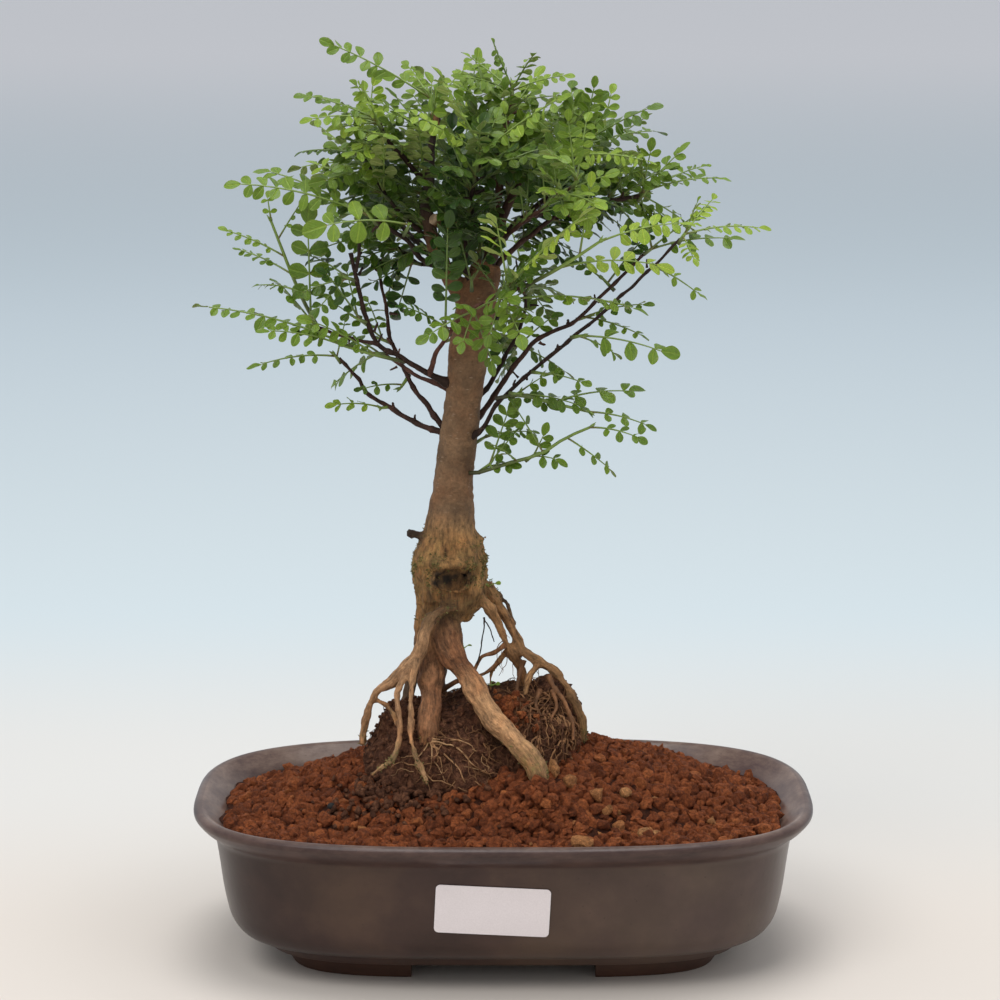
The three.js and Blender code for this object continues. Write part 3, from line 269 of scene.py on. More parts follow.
# Woody limbs: how many sides its solid has, its radii at the first and last point or at each point, then its
# route. A limb with more sides than THIN_SIDES is in the trunk's skin, and the others are branches
THIN_SIDES = 4
LIMBS = {
    "trunk": (10, (11, 15.5, 16.8, 16.6, 14.6, 11.6, 9.9, 8.9, 8.8, 8.3, 9.1, 9.2, 8.8, 8, 6.4), [
        (-25, 0, 154), (-24, 0, 163), (-24, 0, 171), (-24, 0, 179), (-24, 0, 187), (-24, 0, 194),
        (-23, 0, 205), (-22, 0, 221), (-20, 0, 235), (-18, 0, 252), (-16, 0, 267), (-15, 0, 279),
        (-12, 1, 294), (-10, 1, 303), (-7, 2, 314),
    ]),
    "stub_left": (5, (4, 2.6), [(-30, -2, 186), (-37, -4, 191), (-43, -6, 193)]),
    "stub_right": (5, (1.6, 0.7), [(-16, 0, 186), (-12, 0, 188), (-8, 0, 190)]),
    "root_front_left": (6, (2.4, 2.7, 3.1, 2.9, 3.6, 3.3, 2.6, 2.2, 2, 1.8, 1.7, 1.6), [
        (-20.8, -14, 160.4), (-27, -17, 160.6), (-33.2, -19, 154.7), (-35.4, -20, 148.5),
        (-36.8, -20, 142.1), (-43.1, -20, 133.8), (-50.3, -20, 127.4), (-56.4, -19, 123.4),
        (-59, -18, 118.1), (-60.8, -18, 112.5), (-62.7, -18, 106.1), (-63.6, -18, 98.2),
    ]),
    "root_front_left_inner": (5, (2.4, 2, 1.7, 1.5, 1.5, 1.4, 1.4, 1.3, 1.2, 1.1), [
        (-37.3, -20, 141.6), (-41.2, -23, 135.4), (-45.2, -26, 129.7), (-46.9, -29, 124.5),
        (-46.9, -31, 120.9), (-45.9, -37, 111), (-46.7, -40, 104.5), (-48.4, -43, 99.3),
        (-53.2, -45, 95.3), (-58.5, -46, 91.5),
    ]),
    "root_front_left_leg": (5, (2.2, 1.8, 1.5, 1.5, 1.5, 1.4, 1.3, 1.2, 1.1), [
        (-38.6, -22, 138.4), (-39.9, -25, 133.2), (-40.7, -29, 127.7), (-40.8, -33, 121.4),
        (-41, -36, 114.9), (-40.9, -40, 107.7), (-39.1, -44, 101.4), (-35.5, -47, 93.6),
        (-33.3, -48, 87.9),
    ]),
    "root_loop": (5, (1.4, 1.2), [
        (-56.2, -19, 118.8), (-51.6, -24, 117.8), (-48.3, -29, 114.4), (-45.9, -36, 109.8),
    ]),
    "root_left": (6, (7, 6.5, 5.8, 5.1, 4.8, 4.4, 3.8), [
        (-30.5, -1, 169), (-32.6, -3, 156.1), (-33.6, -8, 139.7), (-32.5, -17, 125.7),
        (-32.8, -27, 115.8), (-33.5, -33, 108), (-34.5, -33, 99),
    ]),
    "root_middle": (6, (6.5, 6.2, 5.6, 5.4, 5.2, 5, 4.9, 4.8, 4.7, 4.6, 4.3, 3.6), [
        (-25.8, -8, 154.5), (-24.9, -12, 145.3), (-22.1, -16, 138.8), (-17.2, -20, 132),
        (-13.1, -24, 126), (-9.5, -28, 120.2), (-4.6, -33, 114.1), (1.6, -38, 109),
        (6.9, -43, 103.9), (11.7, -47, 99.5), (15.4, -49, 93.6), (17.6, -49, 85),
    ]),
    "root_right": (5, (2.6, 2.1, 2.1, 2.1, 2.3, 2.2, 2.4, 2), [
        (-14.1, -6, 167.9), (-7.4, -6, 159.6), (-3.3, -5, 152.9), (-0.4, -4, 146.6),
        (1.7, -3, 140.9), (4.8, -1, 135.3), (7.6, 1, 129.2), (9.4, 3, 121.3), (9.9, 3, 113.8),
    ]),
    "root_far_right": (5, (3.2, 2.7, 2.5, 2.5, 2.6, 2.4, 2.3, 2.2, 2.2, 2.1, 2.1, 2, 1.8), [
        (-7.8, 3, 166.8), (-2, 3, 157.6), (1.7, 3, 151.5), (4.4, 2, 146.2), (7.6, 0, 140.2),
        (10.7, -2, 136.9), (16.6, -4, 133.2), (22, -5, 129.7), (26.6, -5, 125.1),
        (30.2, -5, 118.6), (33.4, -5, 112), (35.7, -5, 105.5), (36.2, -5, 96.1),
    ]),
    "root_back_right": (5, (1.9, 1.6), [
        (-8.8, 6, 165.3), (-2.9, 9, 160.9), (1.7, 10, 157.4), (3.5, 9, 152.5), (4, 5, 146.9),
    ]),
    "root_right_fork": (5, (1.7, 1.4), [
        (15.7, -5, 132.5), (12.5, -6, 128.1), (10.7, -8, 124), (9.8, -10, 118.9),
    ]),
    "root_thin": (5, (1.2, 1.1), [
        (1.2, -1, 139), (-1.5, 0, 133.2), (-5.6, 0, 128.1), (-6, -1, 122.2), (-5.6, -2, 114.1),
    ]),
    "root_back": (6, (4.6, 3.2), [
        (-27, 8, 160), (-28, 16, 145), (-29, 22, 128), (-30, 25, 108),
    ]),
    "root_back_left": (5, (4.4, 2.6), [(-29, 8, 160), (-35, 16, 142), (-41, 22, 124), (-45, 24, 104)]),
    "low_left": (4, (2.4, 1.1), [
        (-24, 0, 237), (-38, 4, 241), (-51, 8, 248), (-61, 11, 254), (-66, 13, 261), (-74, 16, 269),
    ]),
    "low_left_up": (4, (2.2, 1), [
        (-25, 3, 236), (-33, 6, 248), (-40, 9, 256), (-45, 12, 265), (-51, 16, 278), (-53, 20, 290),
        (-55, 22, 301), (-58, 26, 314),
    ]),
    "left": (4, (4, 2.6, 2, 1.9, 1.8, 1.8, 1.7, 1.5), [
        (-20, 0, 258), (-30, -4, 263), (-37, -6, 267), (-46, -8, 273), (-56, -10, 280),
        (-61, -12, 292), (-64, -13, 305), (-67, -15, 320),
    ]),
    "left_fork": (4, (1.3, 1.1), [(-65, -14, 312), (-63, -16, 321), (-63, -18, 329)]),
    "left_side": (4, (1.4, 1.1), [(-55, -10, 279), (-70, -7, 282), (-83, -4, 286)]),
    "left_under": (4, (2, 1.2), [(-24, 2, 257), (-38, 7, 262), (-54, 16, 271)]),
    "front": (4, (1.8, 1.7, 1.5, 1.4, 1.3, 1.2), [
        (-33, -5, 265), (-29, -12, 277), (-23, -17, 286), (-16, -22, 294), (-4, -28, 302),
        (10, -34, 308),
    ]),
    "leader_left": (6, (6, 4.6, 3.8, 3.4, 3, 2.4, 2.1, 1.8), [
        (-13, 1, 294), (-22, 2, 305), (-28, 3, 315), (-32, 3, 326), (-34, 3, 338), (-33, 4, 350),
        (-32, 5, 365), (-29, 6, 380),
    ]),
    "leader_left_fork": (4, (2, 1.3), [(-33, 3, 348), (-44, -2, 360), (-50, -5, 367), (-54, -8, 376)]),
    "leader_left_outer": (4, (2, 1.1), [
        (-32, 3, 322), (-38, 2, 329), (-47, 0, 337), (-54, -1, 348), (-61, -1, 360),
    ]),
    "leader_left_low": (4, (2.2, 1.4), [
        (-27, 2, 311), (-35, -5, 316), (-41, -8, 323), (-47, -11, 329), (-56, -14, 334),
    ]),
    "leader_left_rear": (4, (1.8, 1.2), [(-28, 4, 314), (-38, 13, 312), (-44, 18, 316), (-51, 22, 322)]),
    "inner": (4, (2.4, 1.3), [
        (-12, 0, 302), (-17, -5, 313), (-14, -8, 325), (-14, -12, 342), (-12, -15, 352),
        (-10, -18, 362),
    ]),
    "inner_fork": (4, (1.5, 1), [(-16, -6, 317), (-18, 2, 332), (-23, 8, 345), (-25, 14, 354)]),
    "inner_side": (4, (1.3, 1), [(-13, -14, 350), (-8, -12, 353), (3, -6, 350)]),
    "leader_right": (4, (5, 1.6), [
        (-8, 2, 310), (-3, 4, 326), (2, 6, 339), (8, 10, 349), (18, 14, 356), (32, 20, 361),
    ]),
    "leader_middle": (4, (3.4, 1.5), [
        (-4, 4, 323), (-2, 8, 341), (-3, 12, 356), (1, 15, 372), (4, 16, 387),
    ]),
    "leader_far_right": (4, (2.8, 1.4), [(-4, 4, 324), (16, 14, 334), (43, 18, 339), (61, 16, 342)]),
    "right_rear": (4, (3, 1.2), [(-8, 2, 305), (-2, 8, 313), (6, 16, 320), (19, 24, 329), (32, 30, 339)]),
    "right": (4, (2.6, 1.8, 1.6, 1.5, 1.5, 1.4, 1.3, 1.2, 1), [
        (-15, -4, 236), (-9, -8, 241), (-3, -11, 252), (8, -12, 263), (22, -14, 275), (37, -16, 288),
        (44, -17, 294), (59, -19, 308), (77, -22, 327),
    ]),
    "right_second": (4, (2.4, 1.1), [
        (-16, 4, 239), (-8, 8, 247), (2, 12, 262), (16, 16, 278), (31, 18, 285), (50, 22, 302),
        (64, 22, 316),
    ]),
    "right_inner": (4, (2, 1.1), [
        (-15, 6, 248), (-4, 12, 261), (2, 15, 272), (9, 20, 287), (10, 22, 298),
    ]),
    "rear_left": (4, (3, 1.2), [(-26, 3, 312), (-40, 26, 322), (-54, 44, 336), (-62, 56, 350)]),
    "rear": (4, (3.4, 1.2), [(-8, 2, 308), (-10, 24, 322), (-16, 44, 340), (-20, 58, 360)]),
    "rear_right": (4, (3, 1.2), [(-4, 4, 322), (12, 26, 334), (28, 44, 346), (42, 56, 356)]),
    "rear_low": (4, (2.6, 1.1), [(-16, 2, 270), (-10, 22, 278), (2, 42, 292), (8, 58, 306)]),
    "front_right": (4, (2, 1.1), [(-5, 3, 318), (4, -16, 330), (18, -32, 342), (30, -42, 352)]),
}

# Leafy shoots that show singly: age of the leaves from 0, new, to 1, old, green stem, then frond tips
SHOOTS = {
    "left_low": (0.45, [(-45, -7, 271), (-58, -13, 275), (-70, -16, 279)], [
        (-107, -26, 287, -2), (-135, -18, 297, -0.3), (-87, -30, 293, -1),
    ]),
    "left_arch": (0.45, [(-74, 16, 268), (-76, 14, 271)], [(-113, 6, 266, -0.4), (-71, 24, 287)]),
    "left_round": (0.6, [(-83, -5, 286), (-86, -8, 290)], [(-86, -12, 339), (-100, -18, 309)]),
    "left_rise": (0.4, [(-82, -3, 285), (-89, 2, 297), (-95, 3, 311), (-99, 2, 322), (-103, 4, 332)], [
        (-105, 6, 345, -0.4), (-88, 4, 343, -0.4), (-125, 0, 329, -0.4), (-120, 12, 319, -0.4),
        (-112, 14, 302, -0.4),
    ]),
    "left_wide": (0.35, [(-56, -14, 333), (-60, -15, 338)], [(-120, -22, 351, -2), (-108, -2, 356)]),
    "left_front": (0.48, [(-44, -10, 327), (-42, -20, 331), (-41, -30, 334)], [(-83, -42, 333, -3)]),
    "left_olive": (0.62, [(-51, 21, 321), (-54, 12, 325)], [(-84, -4, 319, -1.5), (-78, 34, 330)]),
    "left_blue": (0.75, [(-61, -1, 359), (-63, 2, 362)], [(-92, 8, 362, -0.2), (-60, 24, 380)]),
    "left_top": (0.35, [(-54, -8, 375), (-56, -9, 379)], [
        (-90, -12, 389), (-87, -22, 378), (-66, 6, 394),
    ]),
    "top_left": (0.35, [(-29, 6, 379), (-33, 4, 389)], [(-79, 0, 413), (-44, 24, 402), (-16, 22, 400)]),
    "top_front": (0.2, [(-10, -18, 361), (-9, -21, 366)], [
        (-28, -44, 401), (27, -46, 391), (-44, -32, 384),
    ]),
    "top": (0.45, [(4, 16, 386), (4, 18, 391)], [
        (-5, 6, 411), (14, -6, 407), (30, 12, 396), (-18, 30, 405), (-20, -8, 396),
    ]),
    "right_top": (0.5, [(32, 20, 360), (36, 20, 367)], [
        (41, 12, 394), (68, 8, 383), (30, 40, 392), (72, 30, 370),
    ]),
    "right_thin": (0.2, [(19, 14, 356), (24, 6, 360)], [(66, -10, 359), (21, -16, 379)]),
    "right_far": (0.4, [(61, 16, 341), (65, 14, 346)], [
        (99, 4, 351, -0.2), (92, 28, 355), (60, -4, 366),
    ]),
    "right_tip": (0.2, [(77, -22, 326), (80, -24, 331)], [
        (84, -38, 346), (116, -22, 331, -0.3), (94, -2, 344), (83, -40, 318),
    ]),
    "right_hang": (0.45, [(66, -20, 315), (70, -21, 313)], [(88, -24, 301)]),
    "front_light": (0.1, [(2, -31, 305), (2, -36, 309)], [(36, -72, 344), (-4, -60, 343)]),
    "front_right": (0.14, [(10, -34, 308), (25, -41, 317), (41, -45, 328)], [
        (80, -52, 337), (38, -44, 356), (72, -38, 316),
    ]),
    "front_low": (0.4, [(1, -31, 304), (5, -34, 301)], [(62, -38, 297, 0)]),
    "right_olive": (0.66, [(49, 22, 300), (45, 24, 304)], [(27, 30, 315), (68, 36, 326)]),
    "right_round": (0.5, [(31, -16, 283), (35, -18, 284)], [(76, -24, 275, -1.6), (52, -2, 272)]),
    "right_short": (0.5, [(13, -13, 267), (17, -17, 267)], [(38, -21, 262, -1.8)]),
    "right_low": (0.45, [(-2, -11, 255), (7, -15, 257), (25, -17, 253), (38, -18, 250)], [
        (67, -22, 243, -1.2), (62, -8, 257),
    ]),
    "low_shoot": (0.5, [
        (-16, -4, 220), (-11, -8, 221), (2, -13, 226), (17, -16, 231), (27, -18, 238), (38, -24, 244),
    ], [(62, -36, 240, -1.8), (50, -18, 222), (3, -14, 255), (-6, -30, 238)]),
    "trunk_side": (0.5, [(-12, 2, 233), (-8, 5, 235)], [(16, 10, 236)]),
    "left_small": (0.5, [(-43, 11, 261), (-46, 7, 257)], [(-66, 2, 256)]),
    "left_pale": (0.3, [(-52, 8, 248), (-55, 5, 248)], [(-78, -2, 250)]),
    "trunk_front": (0.8, [(-24, -17, 285), (-26, -22, 290)], [(-24, -32, 338), (-46, -38, 300)]),
}

# Sprays set by rule: the limb, how far along it, and how many fronds
SPRAYS = [
    ("low_left_up", 0.55, 2), ("low_left_up", 1, 3), ("left", 0.62, 2), ("left_under", 1, 3),
    ("leader_left_outer", 0.55, 3), ("leader_left_rear", 1, 3), ("leader_left", 0.62, 3),
    ("inner_fork", 1, 3), ("inner_side", 1, 3), ("leader_middle", 0.5, 3), ("leader_right", 0.4, 3),
    ("leader_far_right", 0.55, 3), ("right_rear", 1, 3), ("right_second", 0.62, 2),
    ("right_second", 1, 3), ("right_inner", 1, 3), ("rear_left", 1, 3), ("rear", 1, 4),
    ("rear_right", 1, 4), ("rear_low", 1, 3), ("front_right", 1, 3),
]

# Leaves
FROND_ARCH = 0.07
LEAFLET_REACH = (4, 6.6)
LEAFLET_FOLD = 0.15
UPRIGHT = 0.88
UPRIGHT_HINT = (0, -1, 0.2)
BUD_LENGTH = 5
GOLDEN_ANGLE = 2.39996
CLEARANCE = 5.4
WOOD_CLEARANCE = 2.2
RIB_PLACES = (0.12, 0.3, 0.55, 0.8, 1)
LEAFLET_PLACES = (0.35, 0.6, 0.85)
FRONT_LEAN = -0.9
REAR_LEAN = 0.7
REAR = 30
CROWN_MIDDLE = (-5, 0, 300)
CROWN_LIMIT = (136, 88, 416)
SPRAY_LENGTH = 36
# How a spray opens: the pulls on its axis, the first frond's angle from it and how much that grows,
# the upward pull on each frond, and the turn from one try to the next
SPRAY_TANGENT = 0.5
SPRAY_UPWARD = 0.3
SPRAY_OPEN = 0.35
SPRAY_SPREAD = 0.9
SPRAY_RISE = 0.15
SPRAY_TRIES = 14
SPRAY_TURN = 0.9
GAP = 0.3
LEAFLET_BELLY = 1.27
LEAFLET_BLUNT = 0.62
LEAFLET_THICKNESS = 0.16
# Leaflet length to its reach in the solids, the pitch of pairs to that length, and how much of a frond's
# lean is kept
LEAFLET_SIZE = 1.16
LEAFLET_PITCH = 0.72
LEAN_RANGE = (0.25, 1)
# The bare length of a frond's stalk, its least and most pairs of leaflets, and the share of lost leaflets
BARE_STALK = 6
PAIR_COUNTS = (2, 11)
LOST_LEAFLETS = 0.03
# Shoots whose leaflets differ from the rest: length and width to the usual ones, and the pitch of pairs
LEAFLET_FORMS = {
    "left_front": (1.25, 1.12, 1), "left_pale": (1.1, 1, 0.9), "left_round": (1.15, 1.25, 1.1),
    "left_arch": (0.9, 0.75, 1.1), "left_low": (0.95, 0.95, 0.9), "left_rise": (0.85, 1, 0.85),
    "left_wide": (1, 1.1, 0.95), "left_small": (0.9, 1, 0.95), "left_olive": (1, 1.05, 0.95),
    "left_blue": (0.85, 1, 0.72), "front_light": (1.3, 0.5, 0.72), "right_thin": (0.85, 0.6, 0.72),
    "right_far": (0.95, 0.75, 0.72), "right_tip": (0.95, 0.85, 0.72), "top_left": (0.95, 1, 0.72),
    "low_shoot": (1.12, 1, 1), "right_low": (1.15, 1.05, 1.12), "right_low_row": (1.15, 1, 1.12),
    "right_short": (1.15, 1, 1.05), "right_round": (1.2, 1.05, 1), "right_hang": (1.15, 1, 1),
}
# The same for other shoots, for low sprays of the solids and for shoots that stand for no solid
USUAL_FORM = (1, 1, LEAFLET_PITCH)
SPARSE_FORM = (1, 1, 1)
INNER_FORM = (1.35, 1, LEAFLET_PITCH)
# The height under which a spray is sparse
SPARSE_TOP = 330
# How old the leaves of a spray are, low and high in the crown; the low age is held down so that those leaves
# are lighter, as painted light from below
SPRAY_AGE = (0.54, 0.34)
HIGH_SPRAY = 340
# The age past which a shoot counts as an inner one
SHADED_AGE = 0.7


def random_from(seed):
    """Small random source that gives the same draws as the solids' own."""
    state = seed

    def draw():
        nonlocal state
        state = (state * 1664525 + 1013904223) & 0xFFFFFFFF
        return state / 4294967296

    return draw


def unit(v):
    return v / np.linalg.norm(v)


class Route:
    """Centripetal Catmull-Rom curve through points, read by the share of its length."""

    DIVISIONS = 200

    def __init__(self, points):
        self.points = np.array(points, float)
        self.places = np.linspace(0, 1, self.DIVISIONS + 1)
        self.lengths = track_of(self.by_parameter(self.places))
        self.length = self.lengths[-1]

    def by_parameter(self, t):
        t = np.atleast_1d(np.asarray(t, float))
        p = self.points
        padded = np.vstack([2 * p[0] - p[1], p, 2 * p[-1] - p[-2]])
        place = t * (len(p) - 1)
        low = np.clip(np.floor(place).astype(int), 0, len(p) - 2)
        w = (place - low)[:, None]
        p0, p1, p2, p3 = (padded[low + k] for k in range(4))
        d0, d1, d2 = (
            np.linalg.norm(b - a, axis=1)[:, None] ** 0.5 for a, b in ((p0, p1), (p1, p2), (p2, p3))
        )
        m1 = ((p1 - p0) / d0 - (p2 - p0) / (d0 + d1) + (p2 - p1) / d1) * d1
        m2 = ((p2 - p1) / d1 - (p3 - p1) / (d1 + d2) + (p3 - p2) / d2) * d1
        return p1 + w * m1 + w**2 * (3 * (p2 - p1) - 2 * m1 - m2) + w**3 * (2 * (p1 - p2) + m1 + m2)

    def parameter(self, u):
        return np.interp(np.asarray(u) * self.length, self.lengths, self.places)

    def at(self, u):
        return self.by_parameter(self.parameter(u))

    def tangent(self, u):
        t = self.parameter(np.atleast_1d(u))
        step = 0.0001
        ahead = self.by_parameter(np.minimum(t + step, 1)) - self.by_parameter(np.maximum(t - step, 0))
        return units(ahead)


def units(rows):
    """Each row of numbers, made one long."""
    return rows / np.linalg.norm(rows, axis=1)[:, None]


def track_of(line):
    """How far along a line each of its points lies."""
    return np.concatenate([[0], np.cumsum(np.linalg.norm(np.diff(line, axis=0), axis=1))])


def radius_at(radii, t):
    return np.interp(np.asarray(t) * (len(radii) - 1), range(len(radii)), radii)


def frond_frame(base, tip, lean):
    """Directions of a frond: along its chord, sideways, and up from its face."""
    along = tip - base
    length = np.linalg.norm(along)
    along = along / length
    hint = np.array(UPRIGHT_HINT if abs(along[2]) > UPRIGHT else (0, lean, 1), float)
    side = unit(np.cross(hint, along))
    up = np.cross(along, side)
    return {"base": base, "tip": tip, "length": length, "along": along, "side": side, "up": up, "lean": lean}


def frond_point(f, s, across=0, height=0):
    rise = FROND_ARCH * f["length"] * 4 * s * (1 - s) * (1 - abs(f["along"][2]))
    lift = height - LEAFLET_FOLD * abs(across)
    point = f["base"] + f["along"] * s * f["length"] + f["side"] * across + f["up"] * lift
    return point + np.array([0, 0, rise])


def leaflet_reach(length):
    return float(np.clip(0.15 * length, *LEAFLET_REACH))


def frond_samples(f):
    reach = leaflet_reach(f["length"])
    samples = [frond_point(f, s) for s in RIB_PLACES]
    for s in LEAFLET_PLACES:
        samples += [frond_point(f, s, reach), frond_point(f, s, -reach)]
    return np.array(samples)


def limb_samples():
    """Points along every limb, and the limb's radius at each."""
    points, radii = [], []
    for _, limb_radii, route in LIMBS.values():
        curve = Route(route)
        count = math.ceil(curve.length / 6)
        u = np.arange(count + 1) / count
        points.append(curve.at(u))
        radii.append(radius_at(limb_radii, curve.parameter(u)))
    return np.vstack(points), np.concatenate(radii)


def clear_of(samples, wood, taken, clearance=CLEARANCE):
    if wood is not None:
        points, radii = wood
        away = np.linalg.norm(samples[1:, None] - points[None], axis=2)
        if (away <= radii + WOOD_CLEARANCE).any():
            return False
    if len(taken):
        away = np.linalg.norm(samples[:, None] - np.asarray(taken)[None], axis=2)
        if (away <= clearance).any():
            return False
    inside = (np.abs(samples[:, :2]) < CROWN_LIMIT[:2]).all() and (samples[:, 2] < CROWN_LIMIT[2]).all()
    return bool(inside)


def open_spray(limb, place, count, seed, wood, taken, length=SPRAY_LENGTH, clearance=CLEARANCE,
               lift=1):
    """Stem and frond frames of one spray on a limb, kept clear of the wood and of what is there already."""
    draw = random_from(seed)
    _, radii, route = LIMBS[limb]
    curve = Route(route)
    hub = curve.at(place)[0]
    outward = unit(hub - np.array(CROWN_MIDDLE, float))
    axis = curve.tangent(place)[0] * SPRAY_TANGENT + outward + np.array([0, 0, SPRAY_UPWARD * lift])
    axis = unit(axis)
    radius = float(radius_at(radii, curve.parameter(place))) if place < 1 else 0
    foot = hub + axis * (radius + GAP)
    across = unit(np.cross(axis, (0.3, 1, 0.1)))
    over = np.cross(axis, across)
    fronds, own = [], []
    for i in range(count):
        start = foot + axis * (0.3 + 0.5 * (i / count)) * BUD_LENGTH
        reach = length * (0.8 + 0.4 * draw())
        for attempt in range(SPRAY_TRIES):
            turn = i * GOLDEN_ANGLE + attempt * SPRAY_TURN + draw()
            angle = SPRAY_OPEN + SPRAY_SPREAD * ((i + draw()) / count)
            heading = axis * math.cos(angle) + across * math.sin(angle) * math.cos(turn)
            heading = heading + over * math.sin(angle) * math.sin(turn) + np.array([0, 0, SPRAY_RISE * lift])
            tip = start + unit(heading) * reach
            found = frond_frame(start, tip, FRONT_LEAN if start[1] < REAR else REAR_LEAN)
            samples = frond_samples(found)
            if clear_of(samples, wood, taken, clearance) and clear_of(samples[2:], None, own, clearance):
                fronds.append(found)
                own += list(samples[2:])
                break
    for found in fronds:
        taken += list(frond_samples(found))
    return [foot, foot + axis * BUD_LENGTH], fronds


def lay_out_shoots(wood):
    """Every shoot of the solids: its name, stem, frond frames and age, and the points they take up."""
    taken, shoots = [], []
    for name, (age, stem, tips) in SHOOTS.items():
        curve = Route(stem)
        last, span = (1, 0.8) if len(stem) > 2 else (0.72, 0.4)
        fronds = []
        for i, tip in enumerate(tips):
            base = curve.at(last - span * (i / len(tips)))[0]
            lean = tip[3] if len(tip) > 3 else FRONT_LEAN
            fronds.append(frond_frame(base, np.array(tip[:3], float), lean))
        shoots.append((name, np.array(stem, float), fronds, age))
        for found in fronds:
            taken += list(frond_samples(found))
    for number, (limb, place, count) in enumerate(SPRAYS):
        stem, fronds = open_spray(limb, place, count, 100 + number, wood, taken)
        if fronds:
            shoots.append((f"{limb}_spray_{number + 1}", np.array(stem), fronds, None))
    return shoots, taken


# Finishes

def give(tree, socket, value):
    """Gives a socket a value or another node's output."""
    if isinstance(value, bpy.types.NodeSocket):
        tree.links.new(value, socket)
    else:
        socket.default_value = value


def add(tree, kind, inputs=None, **settings):
    """Adds a shader node and gives its first output."""
    node = tree.nodes.new("ShaderNode" + kind)
    for key, value in settings.items():
        setattr(node, key, value)
    for key, value in (inputs or {}).items():
        give(tree, node.inputs[key], value)
    return node.outputs[0]


def mix(tree, factor, a, b, way="MIX"):
    node = tree.nodes.new("ShaderNodeMix")
    node.data_type = "RGBA"
    node.blend_type = way
    for index, value in ((0, factor), (6, a), (7, b)):
        give(tree, node.inputs[index], (*value, 1) if isinstance(value, tuple) else value)
    return node.outputs[2]


def ramp(tree, factor, stops, smooth=False):
    node = tree.nodes.new("ShaderNodeValToRGB")
    tree.links.new(factor, node.inputs[0])
    node.color_ramp.interpolation = "EASE" if smooth else "LINEAR"
    elements = node.color_ramp.elements
    while len(elements) < len(stops):
        elements.new(0.5)
    for element, (place, color) in zip(elements, stops):
        element.position = place
        element.color = (*color, 1) if isinstance(color, tuple) else (color, color, color, 1)
    return node.outputs[0]


def shaded(tree, color, factor, stops):
    """The colour, darker and lighter by a ramp."""
    return mix(tree, 1.0, color, ramp(tree, factor, stops), "MULTIPLY")


def math_node(tree, operation, a, b=0.0):
    return add(tree, "Math", {0: a, 1: b}, operation=operation)


def times(tree, a, b):
    return math_node(tree, "MULTIPLY", a, b)


def plus(tree, a, b):
    return math_node(tree, "ADD", a, b)


def split(tree, vector):
    """The x, y and z of a vector."""
    node = tree.nodes.new("ShaderNodeSeparateXYZ")
    tree.links.new(vector, node.inputs[0])
    return node.outputs


def attribute(tree, name, output="Fac"):
    node = tree.nodes.new("ShaderNodeAttribute")
    node.attribute_name = name
    return node.outputs[output]


def object_place(tree):
    return tree.nodes.new("ShaderNodeTexCoord").outputs["Object"]


def grain(tree, scale, detail=4, roughness=0.55, stretch=(1, 1, 1), flow=False):
    """Noise on object coordinates, or along the limbs, with the scale in repeats for each metre."""
    place = attribute(tree, "flow", "Vector") if flow else object_place(tree)
    place = add(tree, "Mapping", {"Vector": place, "Scale": stretch})
    return add(tree, "TexNoise", {"Vector": place, "Scale": scale, "Detail": detail, "Roughness": roughness})


def cells(tree, scale, stretch=(1, 1, 1)):
    """Distance to the nearest of many scattered spots."""
    place = add(tree, "Mapping", {"Vector": object_place(tree), "Scale": stretch})
    return add(tree, "TexVoronoi", {"Vector": place, "Scale": scale})


def finish(name, roughness, specular=0.5, **sockets):
    """A new material, its node tree and its shader, with values set on the shader's sockets."""
    material = bpy.data.materials.new(name)
    material.use_nodes = True
    shader = material.node_tree.nodes["Principled BSDF"]
    for key, value in {"Roughness": roughness, "Specular_IOR_Level": specular, **sockets}.items():
        shader.inputs[key.replace("_", " ")].default_value = value
    return material, material.node_tree, shader


def dress(tree, shader, color, height, distance, strength=1.0, roughness=None):
    """Links a colour, a bump height and a roughness to the shader."""
    tree.links.new(color, shader.inputs["Base Color"])
    bump = add(tree, "Bump", {"Height": height, "Distance": distance, "Strength": strength})
    tree.links.new(bump, shader.inputs["Normal"])
    if roughness is not None:
        tree.links.new(roughness, shader.inputs["Roughness"])


